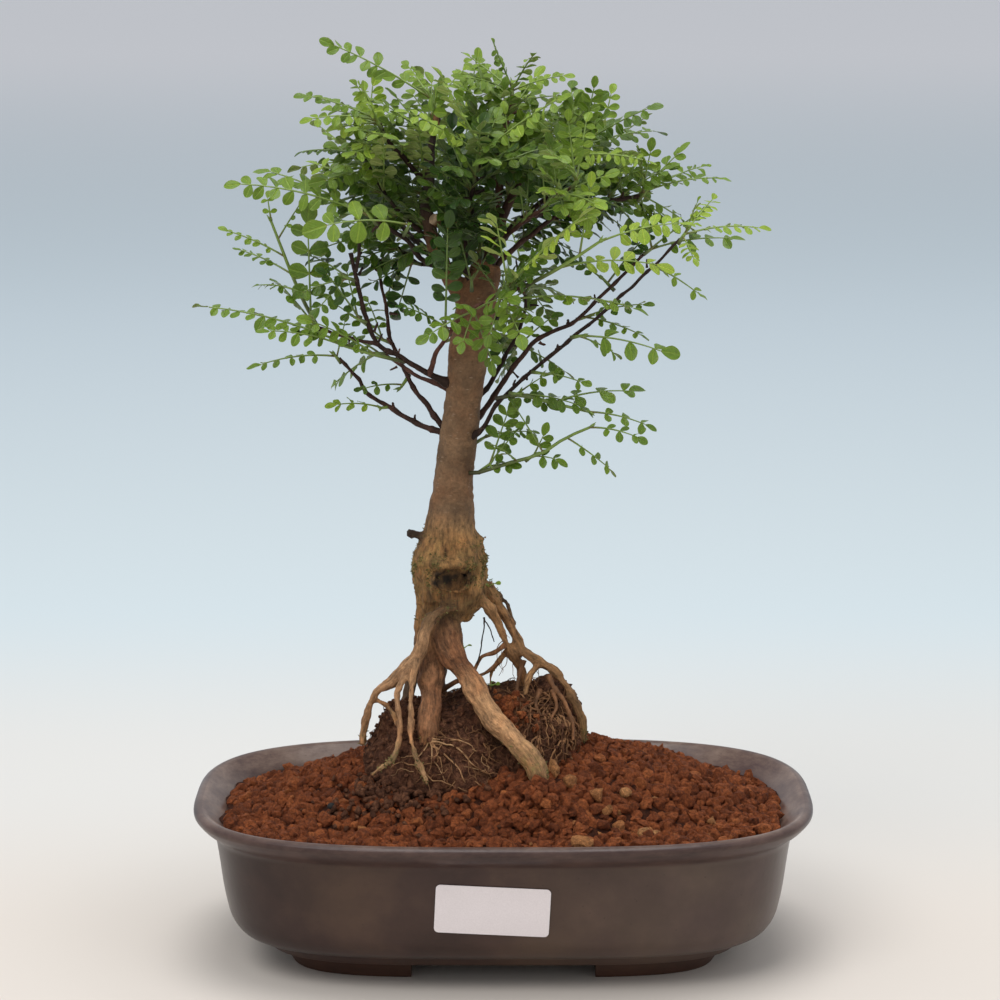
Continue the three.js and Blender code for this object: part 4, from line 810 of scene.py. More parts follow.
def glaze_finish():
    """Dark purple-brown satin glaze, taupe and olive where it runs thin on the lip, with painted light and
    shade.
    """
    material, tree, shader = finish("brown_glaze", 0.36, 0.3, Coat_Weight=0.08, Coat_Roughness=0.22)
    cloud = grain(tree, 22, detail=6, roughness=0.6)
    body = ramp(tree, cloud, [(0.3, (0.028, 0.014, 0.012)), (0.5, (0.05, 0.027, 0.023)),
                              (0.7, (0.088, 0.052, 0.038))])
    drift = grain(tree, 9, detail=3)
    olive = ramp(tree, drift, [(0.45, 0.0), (0.7, 0.55)])
    body = mix(tree, olive, body, (0.07, 0.045, 0.026))
    # Painted light: the wall is lighter and bluer towards its right side as a highlight, and darker towards
    # its left side as shade.
    across = times(tree, split(tree, object_place(tree))[0], 3.4)
    side = ramp(tree, plus(tree, across, 0.5),
                [(0.0, (0.5, 0.42, 0.38)), (0.5, (1.1, 1.06, 1.0)), (1.0, (1.45, 1.7, 2.0))])
    body = mix(tree, 1.0, body, side, "MULTIPLY")
    smudge = ramp(tree, cells(tree, 17, stretch=(1, 1, 2.2)), [(0.05, 0.6), (0.1, 0.0)])
    body = mix(tree, smudge, body, (0.018, 0.01, 0.009))
    lip = attribute(tree, "lip")
    thin = grain(tree, 90, detail=7, roughness=0.75, stretch=(0.5, 0.5, 1.6))
    # The lip's lighter taupe is partly the thin glaze and partly a painted sheen.
    lip_tone_and_sheen = ramp(tree, thin, [(0.32, (0.06, 0.03, 0.028)), (0.5, (0.135, 0.085, 0.066)),
                                 (0.72, (0.25, 0.175, 0.135))])
    body = mix(tree, lip, body, lip_tone_and_sheen)
    rolled = attribute(tree, "rolled")
    edge = ramp(tree, thin, [(0.35, (0.03, 0.015, 0.014)), (0.7, (0.085, 0.048, 0.04))])
    body = mix(tree, rolled, body, edge)
    fleck = cells(tree, 210)
    specks = ramp(tree, fleck, [(0.03, 1.0), (0.1, 0.0)])
    body = mix(tree, times(tree, specks, 0.5), body, (0.02, 0.014, 0.013))
    # Dark clay brown at the foot: bare clay at the bottom, and above it partly painted shade on the feet and
    # the band.
    bare_and_shaded = attribute(tree, "bare_clay_and_foot_shade")
    clay = ramp(tree, thin, [(0.3, (0.04, 0.018, 0.011)), (0.7, (0.1, 0.042, 0.025))])
    body = mix(tree, bare_and_shaded, body, clay)
    wave = grain(tree, 120, detail=3)
    sheen = ramp(tree, cloud, [(0.3, 0.28), (0.7, 0.42)])
    rough = plus(tree, sheen, times(tree, bare_and_shaded, 0.4))
    dress(tree, shader, body, wave, 0.0004, 0.25, rough)
    return material


def soil_finish(name, dark=1.0):
    """Red-brown baked clay granules, with a few ochre ones by their tint, darkened as painted shade where
    dark is below one.
    """
    material, tree, shader = finish(name, 0.93, 0.25)
    tint = attribute(tree, "tint")
    tones = [
        (0.0, (0.125, 0.032, 0.01)), (0.35, (0.22, 0.058, 0.018)), (0.72, (0.31, 0.086, 0.026)),
        (0.93, (0.39, 0.125, 0.039)), (0.96, (0.4, 0.165, 0.058)), (1.0, (0.46, 0.22, 0.085)),
    ]
    base = ramp(tree, tint, [(stop, tuple(value * dark for value in tone)) for stop, tone in tones])
    dust = grain(tree, 560, detail=9, roughness=0.82)
    color = shaded(tree, base, dust, [(0.34, 0.2), (0.5, 0.95), (0.66, 1.85)])
    dress(tree, shader, color, dust, 0.0024, 1.0)
    return material


def peat_finish():
    """Dark crumbly peat with a reddish clay patch and pale fibres."""
    material, tree, shader = finish("peat", 0.95, 0.2)
    crumb = grain(tree, 330, detail=9, roughness=0.8)
    base = ramp(tree, crumb, [(0.32, (0.019, 0.007, 0.004)), (0.48, (0.096, 0.038, 0.02)),
                              (0.58, (0.21, 0.09, 0.047)), (0.68, (0.35, 0.17, 0.088))])
    patch = attribute(tree, "clay")
    red = ramp(tree, crumb, [(0.34, (0.05, 0.016, 0.008)), (0.64, (0.26, 0.1, 0.042))])
    color = mix(tree, patch, base, red)
    dress(tree, shader, color, crumb, 0.003, 1.0)
    return material


def bark_finish():
    """Smooth grey-brown bark with pale pores, mossy on the collar, tan on the roots."""
    material, tree, shader = finish("bark", 0.78, 0.35)
    base = attribute(tree, "tone", "Color")
    smooth_bark = attribute(tree, "pores")
    cloud = grain(tree, 100, detail=6, roughness=0.68)
    color = shaded(tree, base, cloud, [(0.28, 0.5), (0.5, 0.95), (0.72, 1.45)])
    fibre = grain(tree, 620, detail=7, roughness=0.74, stretch=(1, 1, 0.2), flow=True)
    fine = mix(tree, smooth_bark, fibre, grain(tree, 700, detail=6, roughness=0.75))
    deep = mix(tree, smooth_bark, ramp(tree, fine, [(0.36, 0.2), (0.5, 0.95), (0.66, 1.75)]),
               ramp(tree, fine, [(0.3, 0.62), (0.68, 1.3)]))
    color = mix(tree, 1.0, color, deep, "MULTIPLY")
    warm = ramp(tree, grain(tree, 70, detail=4), [(0.46, 0.0), (0.68, 0.4)])
    color = mix(tree, warm, color, mix(tree, 1.0, color, (1.2, 0.84, 0.62), "MULTIPLY"))
    pore = cells(tree, 330, stretch=(0.55, 0.55, 1.7))
    spots = ramp(tree, pore, [(0.1, 1.0), (0.2, 0.0)])
    few = ramp(tree, grain(tree, 160, detail=2), [(0.46, 0.0), (0.56, 0.8)])
    spots = times(tree, times(tree, spots, few), smooth_bark)
    color = mix(tree, spots, color, (0.36, 0.25, 0.16))
    moss = attribute(tree, "moss")
    patchy = ramp(tree, grain(tree, 260, detail=6, roughness=0.75), [(0.45, 0.0), (0.62, 0.9)])
    cover = times(tree, moss, patchy)
    green = ramp(tree, fine, [(0.3, (0.07, 0.058, 0.014)), (0.7, (0.27, 0.225, 0.07))])
    color = mix(tree, cover, color, green)
    relief = plus(tree, times(tree, fine, 0.6), cloud)
    relief = plus(tree, relief, times(tree, spots, 0.25))
    dress(tree, shader, color, relief, 0.0016, 1.0)
    return material


def twig_finish():
    """Dark purplish twig bark, browner and greyer where it is old."""
    material, tree, shader = finish("twig_bark", 0.62, 0.2)
    base = attribute(tree, "tone", "Color")
    cloud = grain(tree, 260, detail=5, roughness=0.7, stretch=(1, 1, 0.5))
    color = shaded(tree, base, cloud, [(0.3, 0.5), (0.5, 1.0), (0.72, 2.1)])
    pore = ramp(tree, cells(tree, 520), [(0.08, 1.0), (0.16, 0.0)])
    color = mix(tree, times(tree, pore, 0.35), color, (0.26, 0.17, 0.12))
    dress(tree, shader, color, cloud, 0.0008, 0.8)
    return material


def leaf_finish(name, under):
    """Oval leaflets: yellow-green when new, deep and glossy when old, with a pale rib and fine veins."""
    material, tree, shader = finish(
        name, 0.4, 0.1 if under else 0.3, Subsurface_Weight=0.12, Subsurface_Radius=(0.5, 0.9, 0.25),
        Subsurface_Scale=0.0012)
    age = attribute(tree, "age")
    tint = math_node(tree, "SUBTRACT", attribute(tree, "tint"), 0.5)
    turned_age = plus(tree, age, times(tree, tint, 0.22))
    if under:
        color = ramp(tree, turned_age, [
            (0.0, (0.27, 0.34, 0.09)), (0.4, (0.19, 0.24, 0.075)), (0.7, (0.1, 0.135, 0.04)),
            (1.0, (0.055, 0.085, 0.03)),
        ])
    else:
        color = ramp(tree, turned_age, [
            (0.0, (0.26, 0.36, 0.035)), (0.18, (0.2, 0.3, 0.026)), (0.4, (0.125, 0.205, 0.018)),
            (0.6, (0.072, 0.13, 0.012)), (0.8, (0.034, 0.072, 0.009)), (1.0, (0.016, 0.038, 0.006)),
        ])
    x, along, _ = split(tree, add(tree, "UVMap", uv_map="leaf"))
    across = math_node(tree, "ABSOLUTE", math_node(tree, "SUBTRACT", x, 0.5))
    rib = ramp(tree, across, [(0.0, 1.0), (0.035, 0.75), (0.075, 0.0)])
    slant = math_node(tree, "SUBTRACT", along, times(tree, across, 0.9))
    wave = math_node(tree, "SINE", times(tree, slant, 44.0))
    vein = ramp(tree, wave, [(0.8, 0.0), (1.0, 0.35)])
    pale = mix(tree, 1.0, color, (1.7, 1.5, 1.8), "MULTIPLY")
    color = mix(tree, times(tree, rib, 0.75), color, pale)
    color = mix(tree, vein, color, pale)
    foot = ramp(tree, along, [(0.0, 0.85), (0.09, 0.0)])
    color = mix(tree, foot, color, (0.16, 0.06, 0.02))
    mottle = grain(tree, 700, detail=3)
    color = shaded(tree, color, mottle, [(0.3, 0.86), (0.7, 1.12)])
    lines = plus(tree, rib, times(tree, vein, 1.2))
    furrow = times(tree, lines, -1.0)
    rough = ramp(tree, age, [(0.0, 0.5), (0.5, 0.38), (1.0, 0.28)])
    dress(tree, shader, color, furrow, 0.0003, 0.7, rough)
    return material


def grained_finish(name, roughness, specular, tones, scale, shade, distance, strength):
    """Plain grained matter, toned by a ramp over each piece's tint, or by the tone of each point."""
    material, tree, shader = finish(name, roughness, specular)
    base = ramp(tree, attribute(tree, "tint"), tones) if tones else attribute(tree, "tone", "Color")
    cloud = grain(tree, scale, detail=3)
    dress(tree, shader, shaded(tree, base, cloud, shade), cloud, distance, strength)
    return material


def stalk_finish():
    """Green leaf stalks and young shoots, browner at the foot."""
    return grained_finish("leaf_stalk", 0.5, 0.5, None, 500, [(0.3, 0.8), (0.7, 1.2)], 0.0002, 0.5)


def strand_finish():
    """Dead fibrous roots, from dark brown to straw."""
    tones = [
        (0.0, (0.035, 0.015, 0.008)), (0.4, (0.13, 0.055, 0.024)), (0.75, (0.29, 0.145, 0.065)),
        (1.0, (0.5, 0.3, 0.15)),
    ]
    return grained_finish("fine_root", 0.85, 0.25, tones, 700, [(0.3, 0.65), (0.7, 1.2)], 0.0003, 0.6)


def moss_finish():
    tones = [(0.0, (0.05, 0.045, 0.012)), (0.5, (0.13, 0.115, 0.03)), (1.0, (0.26, 0.21, 0.075))]
    return grained_finish("moss", 0.9, 0.5, tones, 800, [(0.3, 0.7), (0.7, 1.2)], 0.0003, 0.5)


def label_finish():
    """Coated white paper with faint fibres and slight grubby patches."""
    material, tree, shader = finish("label_paper", 0.42)
    fibre = grain(tree, 1500, detail=4)
    color = ramp(tree, fibre, [(0.3, (0.74, 0.68, 0.69)), (0.7, (0.8, 0.74, 0.75))])
    smear = ramp(tree, grain(tree, 60, detail=3), [(0.5, 0.0), (0.8, 0.12)])
    color = mix(tree, smear, color, (0.55, 0.52, 0.5))
    dress(tree, shader, color, fibre, 0.00005, 0.4)
    return material


def net_finish():
    material, tree, shader = finish("net_plastic", 0.7, 0.2)
    cloud = grain(tree, 400, detail=3)
    color = ramp(tree, cloud, [(0.3, (0.01, 0.01, 0.01)), (0.7, (0.02, 0.02, 0.02))])
    dress(tree, shader, color, cloud, 0.0002, 0.4)
    return material


def floor_finish():
    material, tree, shader = finish("floor_painted_light", 0.9)
    # Warm near the pot, then paler and bluer with depth: painted light that makes up for the lamps no longer
    # reaching the far floor.
    depth = times(tree, split(tree, object_place(tree))[1], 0.12)
    color = ramp(tree, depth, [(0.0, (0.66, 0.605, 0.55)), (0.035, (0.66, 0.65, 0.625)),
                               (0.088, (0.58, 0.656, 0.687)), (0.285, (0.62, 0.71, 0.766)),
                               (1.0, (0.885, 0.888, 0.917))], smooth=True)
    tree.links.new(color, shader.inputs["Base Color"])
    return material


# Meshes

def add_object(name, data):
    piece = bpy.data.objects.new(name, data)
    bpy.context.scene.collection.objects.link(piece)
    return piece


class Heap:
    """Points in millimetres, faces and values, gathered for one mesh."""

    def __init__(self):
        self.points, self.loops, self.sizes, self.slots = [], [], [], []
        self.values, self.uv = {}, []
        self.count = 0

    def lay(self, faces, first, slot):
        """Faces of one material, on points counted from a first one."""
        for face_set in faces:
            face_set = np.asarray(face_set, int)
            self.loops.append((face_set + first).ravel())
            self.sizes.append(np.full(len(face_set), face_set.shape[1]))
            self.slots.append(np.full(len(face_set), slot))

    def add(self, points, faces, slot=0, uv=None, **values):
        points = np.asarray(points, float)
        size = len(points)
        self.lay(faces, self.count, slot)
        for name, value in values.items():
            width = 3 if name == "tone" else 1
            value = np.broadcast_to(np.asarray(value, float).reshape(-1, width), (size, width))
            self.values.setdefault(name, []).append((self.count, value))
        self.uv.append(np.zeros((size, 2)) if uv is None else uv)
        self.points.append(points)
        self.count += size

    def join(self, faces, slot):
        """More faces, of another material, on the points that were added last."""
        self.lay(faces, self.count - len(self.points[-1]), slot)

    def build(self, name, *materials):
        mesh = bpy.data.meshes.new(name)
        points = np.vstack(self.points) * MM
        loops, sizes = np.concatenate(self.loops), np.concatenate(self.sizes)
        mesh.vertices.add(len(points))
        mesh.vertices.foreach_set("co", points.astype(np.float32).ravel())
        mesh.loops.add(len(loops))
        mesh.loops.foreach_set("vertex_index", loops.astype(np.int32))
        mesh.polygons.add(len(sizes))
        starts = np.concatenate([[0], np.cumsum(sizes)[:-1]])
        mesh.polygons.foreach_set("loop_start", starts.astype(np.int32))
        mesh.polygons.foreach_set("material_index", np.concatenate(self.slots).astype(np.int32))
        mesh.update(calc_edges=True)
        mesh.polygons.foreach_set("use_smooth", np.ones(len(sizes), bool))
        for key, parts in self.values.items():
            full = np.zeros((len(points), parts[0][1].shape[1]))
            for first, value in parts:
                full[first:first + len(value)] = value
            give_value(mesh, key, full)
        uv = mesh.uv_layers.new(name="leaf")
        uv.data.foreach_set("uv", np.vstack(self.uv)[loops].astype(np.float32).ravel())
        for material in materials:
            mesh.materials.append(material)
        return add_object(name, mesh)


def give_value(mesh, name, values):
    """Stores one number or one colour for each point of a mesh."""
    values = np.asarray(values, float)
    if values.ndim == 2 and values.shape[1] == 3:
        layer = mesh.attributes.new(name, "FLOAT_COLOR", "POINT")
        rgba = np.hstack([values, np.ones((len(values), 1))])
        layer.data.foreach_set("color", rgba.astype(np.float32).ravel())
    else:
        layer = mesh.attributes.new(name, "FLOAT", "POINT")
        layer.data.foreach_set("value", values.astype(np.float32).ravel())


def vertex_values(piece, key):
    values = np.zeros(len(piece.data.vertices) * 3)
    piece.data.vertices.foreach_get(key, values)
    return values.reshape(-1, 3)


def read_points(piece):
    return vertex_values(piece, "co") / MM


def write_points(piece, points):
    piece.data.vertices.foreach_set("co", (points * MM).astype(np.float32).ravel())
    piece.data.update()


def point_normals(piece):
    return vertex_values(piece, "normal")


def select_only(piece):
    bpy.ops.object.select_all(action="DESELECT")
    piece.select_set(True)
    bpy.context.view_layer.objects.active = piece


def primitive(kind, name, **settings):
    """Adds one of Blender's primitives with nothing else selected, and names it."""
    bpy.ops.object.select_all(action="DESELECT")
    getattr(bpy.ops.mesh, f"primitive_{kind}_add")(**settings)
    piece = bpy.context.active_object
    piece.name = name
    piece.data.name = name
    return piece


def modify(piece, kind, **settings):
    """Adds a modifier and applies it."""
    select_only(piece)
    bpy.ops.object.modifier_add(type=kind)
    modifier = piece.modifiers[-1]
    for key, value in settings.items():
        setattr(modifier, key, value)
    bpy.ops.object.modifier_apply(modifier=modifier.name)


def combine(piece, tool, operation="DIFFERENCE"):
    """Cuts a piece by a tool, or joins the two, and clears the tool away."""
    modify(piece, "BOOLEAN", operation=operation, solver="EXACT", object=tool)
    bpy.data.objects.remove(tool)


def face_outwards():
    """Turns the faces of the piece in hand outwards."""
    bpy.ops.object.mode_set(mode="EDIT")
    bpy.ops.mesh.select_all(action="SELECT")
    bpy.ops.mesh.normals_make_consistent(inside=False)
    bpy.ops.object.mode_set(mode="OBJECT")


def smooth_shade(piece, angle=None):
    select_only(piece)
    if angle is None:
        bpy.ops.object.shade_smooth()
    else:
        bpy.ops.object.shade_smooth_by_angle(angle=math.radians(angle))


def settle(piece):
    """Puts a piece's place and size into its mesh."""
    select_only(piece)
    bpy.ops.object.transform_apply(location=True, rotation=True, scale=True)


def assign(piece, slot, *nodes):
    """Says what a finished piece rides on and the solids it stands for. Its material slot is not used."""
    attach(piece, "root")
    if nodes:
        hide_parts(*nodes)


def faces_of(piece):
    """Faces of a small mesh, as one list of quads and one of triangles."""
    quads = [tuple(p.vertices) for p in piece.data.polygons if len(p.vertices) == 4]
    triangles = [tuple(p.vertices) for p in piece.data.polygons if len(p.vertices) == 3]
    return [f for f in (quads, triangles) if f]


def ring_faces(first, second, sides):
    """Quads between two rings of points, by the number of each ring's first point."""
    i = np.arange(sides)
    j = (i + 1) % sides
    return np.stack([first + i, first + j, second + j, second + i], 1)


def sweep(points, radii, sides):
    """Closed tube through points: its points and its faces."""
    points = np.asarray(points, float)
    count = len(points)
    radii = np.broadcast_to(radii, count)
    ahead = units(np.gradient(points, axis=0))
    hint = np.array([0, 0, 1.0]) if abs(ahead[0][2]) < 0.9 else np.array([0, 1.0, 0])
    across = unit(np.cross(hint, ahead[0]))
    angles = 2 * np.pi * np.arange(sides) / sides
    rings = []
    for p, t, r in zip(points, ahead, radii):
        across = unit(across - t * (across @ t))
        over = np.cross(t, across)
        rings.append(p + r * (np.cos(angles)[:, None] * across + np.sin(angles)[:, None] * over))
    made = np.vstack([*rings, points[:1], points[-1:]])
    i = np.arange(sides)
    following = (i + 1) % sides
    quads = [ring_faces(k * sides, (k + 1) * sides, sides) for k in range(count - 1)]
    first, last = count * sides, count * sides + 1
    ends = np.vstack([
        np.stack([np.full(sides, first), following, i], 1),
        np.stack([np.full(sides, last), (count - 1) * sides + i, (count - 1) * sides + following], 1),
    ])
    return made, [np.vstack(quads), ends]


def noise_at(points, scale, seed=0.0):
    """Smooth noise from -1 to 1, with the scale as the size of a bump in millimetres."""
    shift = Vector((seed * 7.13, seed * 3.71, seed * 5.37))
    return np.array([noise.noise(Vector(p) / scale + shift) for p in points])


# Pot

def plan_power(inset):
    """The corners of the plan get tighter further in."""
    return PLAN_POWER + PLAN_TIGHTEN * inset


def plan_outline(sides):
    """The lip's plan at half sizes of one, in even steps along the real outline."""
    angle = np.linspace(0, 2 * np.pi, 4001)
    c, s = np.cos(angle), np.sin(angle)
    x = np.sign(c) * np.abs(c) ** (2 / PLAN_POWER)
    y = np.sign(s) * np.abs(s) ** (2 / PLAN_POWER)
    track = np.concatenate([[0], np.cumsum(np.hypot(np.diff(x) * POT_LENGTH, np.diff(y) * POT_DEPTH))])
    places = np.linspace(0, track[-1], sides, endpoint=False)
    return np.stack([np.interp(places, track, x), np.interp(places, track, y)], 1)


def plan_ring(outline, inset):
    power = plan_power(inset)
    grow = (np.abs(outline) ** power).sum(axis=1) ** (-1 / power)
    return outline * grow[:, None] * (np.array([POT_LENGTH, POT_DEPTH]) / 2 - inset)


def rounded(rows, steps=5):
    """A profile through (inset, height, corner) rows, with each corner rounded off by an even curve."""
    rows = np.array(rows, float)
    line = [rows[0, :2]]
    for before, here, after in zip(rows[:-2], rows[1:-1], rows[2:]):
        p, corner = here[:2], here[2]
        back, on = before[:2] - p, after[:2] - p
        reach = min(corner, 0.45 * np.linalg.norm(back), 0.45 * np.linalg.norm(on))
        a, b = p + unit(back) * reach, p + unit(on) * reach
        for t in np.linspace(0, 1, steps):
            line.append((1 - t) ** 2 * a + 2 * t * (1 - t) * p + t**2 * b)
    line.append(rows[-1, :2])
    return np.array(line)


def make_feet(outline):
    """A low ring under the bowl, narrower at the ground, cut into four feet by two passages."""
    rows = [(FOOT_INSET + FOOT_WIDTH, 0), (FOOT_INSET + FOOT_TAPER, 0), (FOOT_INSET, FOOT_HEIGHT + 1),
            (FOOT_INSET + FOOT_WIDTH, FOOT_HEIGHT + 1)]
    points = [np.column_stack([plan_ring(outline, i), np.full(PLAN_SIDES, z)]) for i, z in rows]
    quads = [ring_faces(k * PLAN_SIDES, (k + 1) % 4 * PLAN_SIDES, PLAN_SIDES) for k in range(4)]
    heap = Heap()
    heap.add(np.vstack(points), [np.vstack(quads)])
    feet = heap.build("feet")
    for size in ((FOOT_GAP[0], POT_DEPTH, 4 * FOOT_HEIGHT), (POT_LENGTH, FOOT_GAP[1], 4 * FOOT_HEIGHT)):
        passage = primitive("cube", "passage", size=MM)
        passage.scale = size
        settle(passage)
        combine(feet, passage)
    modify(feet, "BEVEL", width=0.9 * MM, segments=3, limit_method="ANGLE", angle_limit=math.radians(40))
    return feet


def make_pot(glaze):
    """The bowl is drawn up from its floor ring by ring, is drained by two holes and stands on four feet."""
    outline = plan_outline(PLAN_SIDES)
    line = rounded(POT_ROWS)
    bowl = primitive("circle", "pot_body", vertices=PLAN_SIDES, radius=1, fill_type="NGON")
    bpy.ops.object.mode_set(mode="EDIT")
    bpy.ops.mesh.select_all(action="SELECT")
    for before, after in zip(line[:-1], line[1:]):
        lift = (after[1] - before[1]) * MM
        bpy.ops.mesh.extrude_region_move(TRANSFORM_OT_translate={"value": (0, 0, lift)})
    bpy.ops.object.mode_set(mode="OBJECT")
    write_points(bowl, np.vstack([
        np.column_stack([plan_ring(outline, inset), np.full(PLAN_SIDES, z)]) for inset, z in line
    ]))
    face_outwards()
    for side in (-1, 1):
        drill = primitive("cylinder", "drill", vertices=48, radius=DRAIN_RADIUS * MM,
                          depth=2 * FLOOR_TOP * MM, location=(side * DRAIN_OFFSET * MM, 0, FLOOR_TOP * MM))
        combine(bowl, drill)
    combine(bowl, make_feet(outline), "UNION")
    x, y, height = read_points(bowl).T
    give_value(bowl.data, "lip", np.clip((height - LIP_START) / LIP_FADE, 0, 1))
    share = plan_share(x, y) ** (1 / PLAN_POWER)
    inset = np.hypot(x, y) * (1 / np.maximum(share, 0.01) - 1)
    outer = inset < np.interp(height, *BAND_REACH)
    give_value(bowl.data, "rolled", outer * np.interp(height, *BAND_SHADE))
    give_value(bowl.data, "bare_clay_and_foot_shade", np.interp(height, *BARE_CLAY_AND_FOOT_SHADE))
    bowl.data.materials.clear()
    bowl.data.materials.append(glaze)
    smooth_shade(bowl, 35)
    assign(bowl, "glaze", "pot")


def plan_share(x, y, inset=0):
    """How far out a place lies: 0 in the middle, 1 on the plan at an inset, raised to the plan's power."""
    power = plan_power(inset)
    across = np.abs(x) / (POT_LENGTH / 2 - inset)
    deep = np.abs(y) / (POT_DEPTH / 2 - inset)
    return across**power + deep**power


def wall_inset(height):
    """How far in from the lip's plan the outside of the wall stands at a height."""
    line = rounded(POT_ROWS[3:12])
    return np.interp(height, line[:, 1], line[:, 0])


def wall_front(x, height):
    inset = wall_inset(height)
    power = plan_power(inset)
    share = (np.abs(x) / (POT_LENGTH / 2 - inset)) ** power
    return -(POT_DEPTH / 2 - inset) * (1 - share) ** (1 / power)


def make_label(paper):
    """Bare paper label with round corners, cut in strips so that it follows the wall."""
    width, height = LABEL_SIZE
    label = primitive("plane", "label_paper", size=1)
    label.scale = (width * MM, height * MM, 1)
    settle(label)
    bpy.ops.object.mode_set(mode="EDIT")
    bpy.ops.mesh.select_all(action="SELECT")
    bpy.ops.mesh.bevel(offset=LABEL_CORNER * MM, segments=5, affect="VERTICES")
    for strips, size, way in ((12, width, (1, 0, 0)), (7, height, (0, 1, 0))):
        for k in range(1, strips):
            bpy.ops.mesh.select_all(action="SELECT")
            bpy.ops.mesh.bisect(plane_co=Vector(way) * (k / strips - 0.5) * size * MM, plane_no=way)
    bpy.ops.mesh.select_all(action="SELECT")
    bpy.ops.mesh.extrude_region_move(TRANSFORM_OT_translate={"value": (0, 0, LABEL_THICKNESS * MM)})
    face_outwards()
    flat = read_points(label)
    c, s = math.cos(LABEL_TILT), math.sin(LABEL_TILT)
    x = LABEL_CENTRE[0] + flat[:, 0] * c - flat[:, 1] * s
    z = LABEL_CENTRE[1] + flat[:, 0] * s + flat[:, 1] * c
    y = wall_front(x, z) - LABEL_GAP - flat[:, 2]
    write_points(label, np.column_stack([x, y, z]))
    label.data.materials.append(paper)
    smooth_shade(label, 30)
    assign(label, "label", "label")


def make_drain_nets(plastic):
    """Two nets of plastic strands, one over each drain hole."""
    for node in ("drain_mesh_left", "drain_mesh_right"):
        low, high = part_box(node)
        net = primitive("grid", node.replace("mesh", "net"), x_subdivisions=13, y_subdivisions=13,
                        size=high[0] - low[0] - NET_STRAND * MM,
                        location=[(a + b) / 2 for a, b in zip(low, high)])
        settle(net)
        modify(net, "WIREFRAME", thickness=NET_STRAND * MM, use_boundary=True)
        net.data.materials.append(plastic)
        assign(net, "mesh", node)


# Soil

def hump(x, y, middle_x, middle_y, height, reach_x, reach_y):
    return height * np.exp(-(((x - middle_x) / reach_x) ** 2) - ((y - middle_y) / reach_y) ** 2)


def soil_height(x, y):
    away = np.hypot((x - SOIL_PEAK[0]) / SOIL_REACH[0], (y - SOIL_PEAK[1]) / SOIL_REACH[1])
    rise = SOIL_RISE * (1 - np.minimum(away, 1) ** SOIL_SHAPE)
    return SOIL_EDGE + SOIL_SLOPE * y + rise + hump(x, y, *SOIL_SWELL)


def inside_wall(height):
    """How far in from the lip's plan the inside of the wall stands at a height."""
    line = rounded(POT_ROWS[13:])[::-1]
    return np.interp(height, line[:, 1], line[:, 0])


def ball_swell(x, y):
    return sum(hump(x, y, *row) for row in BALL_SWELLS)


def in_ball(x, y, height, margin):
    """Whether a place lies inside the root ball."""
    dx, dy = x - BALL_CENTRE[0], y - BALL_CENTRE[1]
    c, s = math.cos(BALL_TURN), math.sin(BALL_TURN)
    across, deep = dx * c + dy * s, dy * c - dx * s
    level = height - BALL_TILT * across - float(ball_swell(x, y))
    share = np.interp(level, [z for _, z in BALL_ROWS], [size for size, _ in BALL_ROWS])
    return np.hypot(across / BALL_HALF[0], deep / BALL_HALF[1]) < share - margin


def crumb_shapes(count, seed, flats=9):
    """A few angular lumps, each a small ball cut by flat planes and roughened by noise."""
    rng = np.random.default_rng(seed)
    shapes = []
    for k in range(count):
        lump = primitive("ico_sphere", "lump", subdivisions=2, radius=MM)
        points = units(read_points(lump))
        planes = units(rng.normal(size=(flats, 3)))
        depth = rng.uniform(0.5, 0.9, size=flats)
        facing = np.maximum(points @ planes.T, 0.05)
        reach = np.minimum((depth / facing).min(axis=1), 1.18)
        reach *= 1 + 0.16 * noise_at(points, 0.45, seed + k)
        shapes.append((points * reach[:, None], faces_of(lump)))
        bpy.data.objects.remove(lump)
    return shapes


def turned(rng, points, stretch):
    """The points, stretched and turned at random."""
    axis = unit(rng.normal(size=3))
    angle = rng.uniform(0, 2 * np.pi)
    k = np.array([[0, -axis[2], axis[1]], [axis[2], 0, -axis[0]], [-axis[1], axis[0], 0]])
    turn = np.eye(3) + math.sin(angle) * k + (1 - math.cos(angle)) * (k @ k)
    return (points * stretch) @ turn.T


def granule_spots(rng):
    """A packed bed of granules and, on top, loose ones and grit: place, radius and height over the soil."""
    spots = []
    for row in range(-22, 23):
        for column in range(-32, 33):
            x = (column + 0.5 * (row % 2)) * GRANULE_PITCH + rng.uniform(-GRANULE_STRAY, GRANULE_STRAY)
            y = row * GRANULE_PITCH * 0.87 + rng.uniform(-GRANULE_STRAY, GRANULE_STRAY)
            spots.append((x, y, rng.uniform(*GRANULE_RADIUS), rng.uniform(*GRANULE_RISE)))
    for count, small, large, low, high in LOOSE_GRANULES:
        for _ in range(count):
            x, y = rng.uniform(-125, 125), rng.uniform(-84, 84)
            spots.append((x, y, rng.uniform(small, large), rng.uniform(low, high)))
    for _ in range(PILE_COUNT):
        across, deep = rng.normal(size=2)
        top = PILE_HEIGHT * math.exp(-(across**2 + deep**2) / 2)
        x, y = PILE_MIDDLE[0] + across * PILE_SPREAD[0], PILE_MIDDLE[1] + deep * PILE_SPREAD[1]
        spots.append((x, y, rng.uniform(1.6, 3.5), top * rng.uniform(0.2, 1)))
    return spots


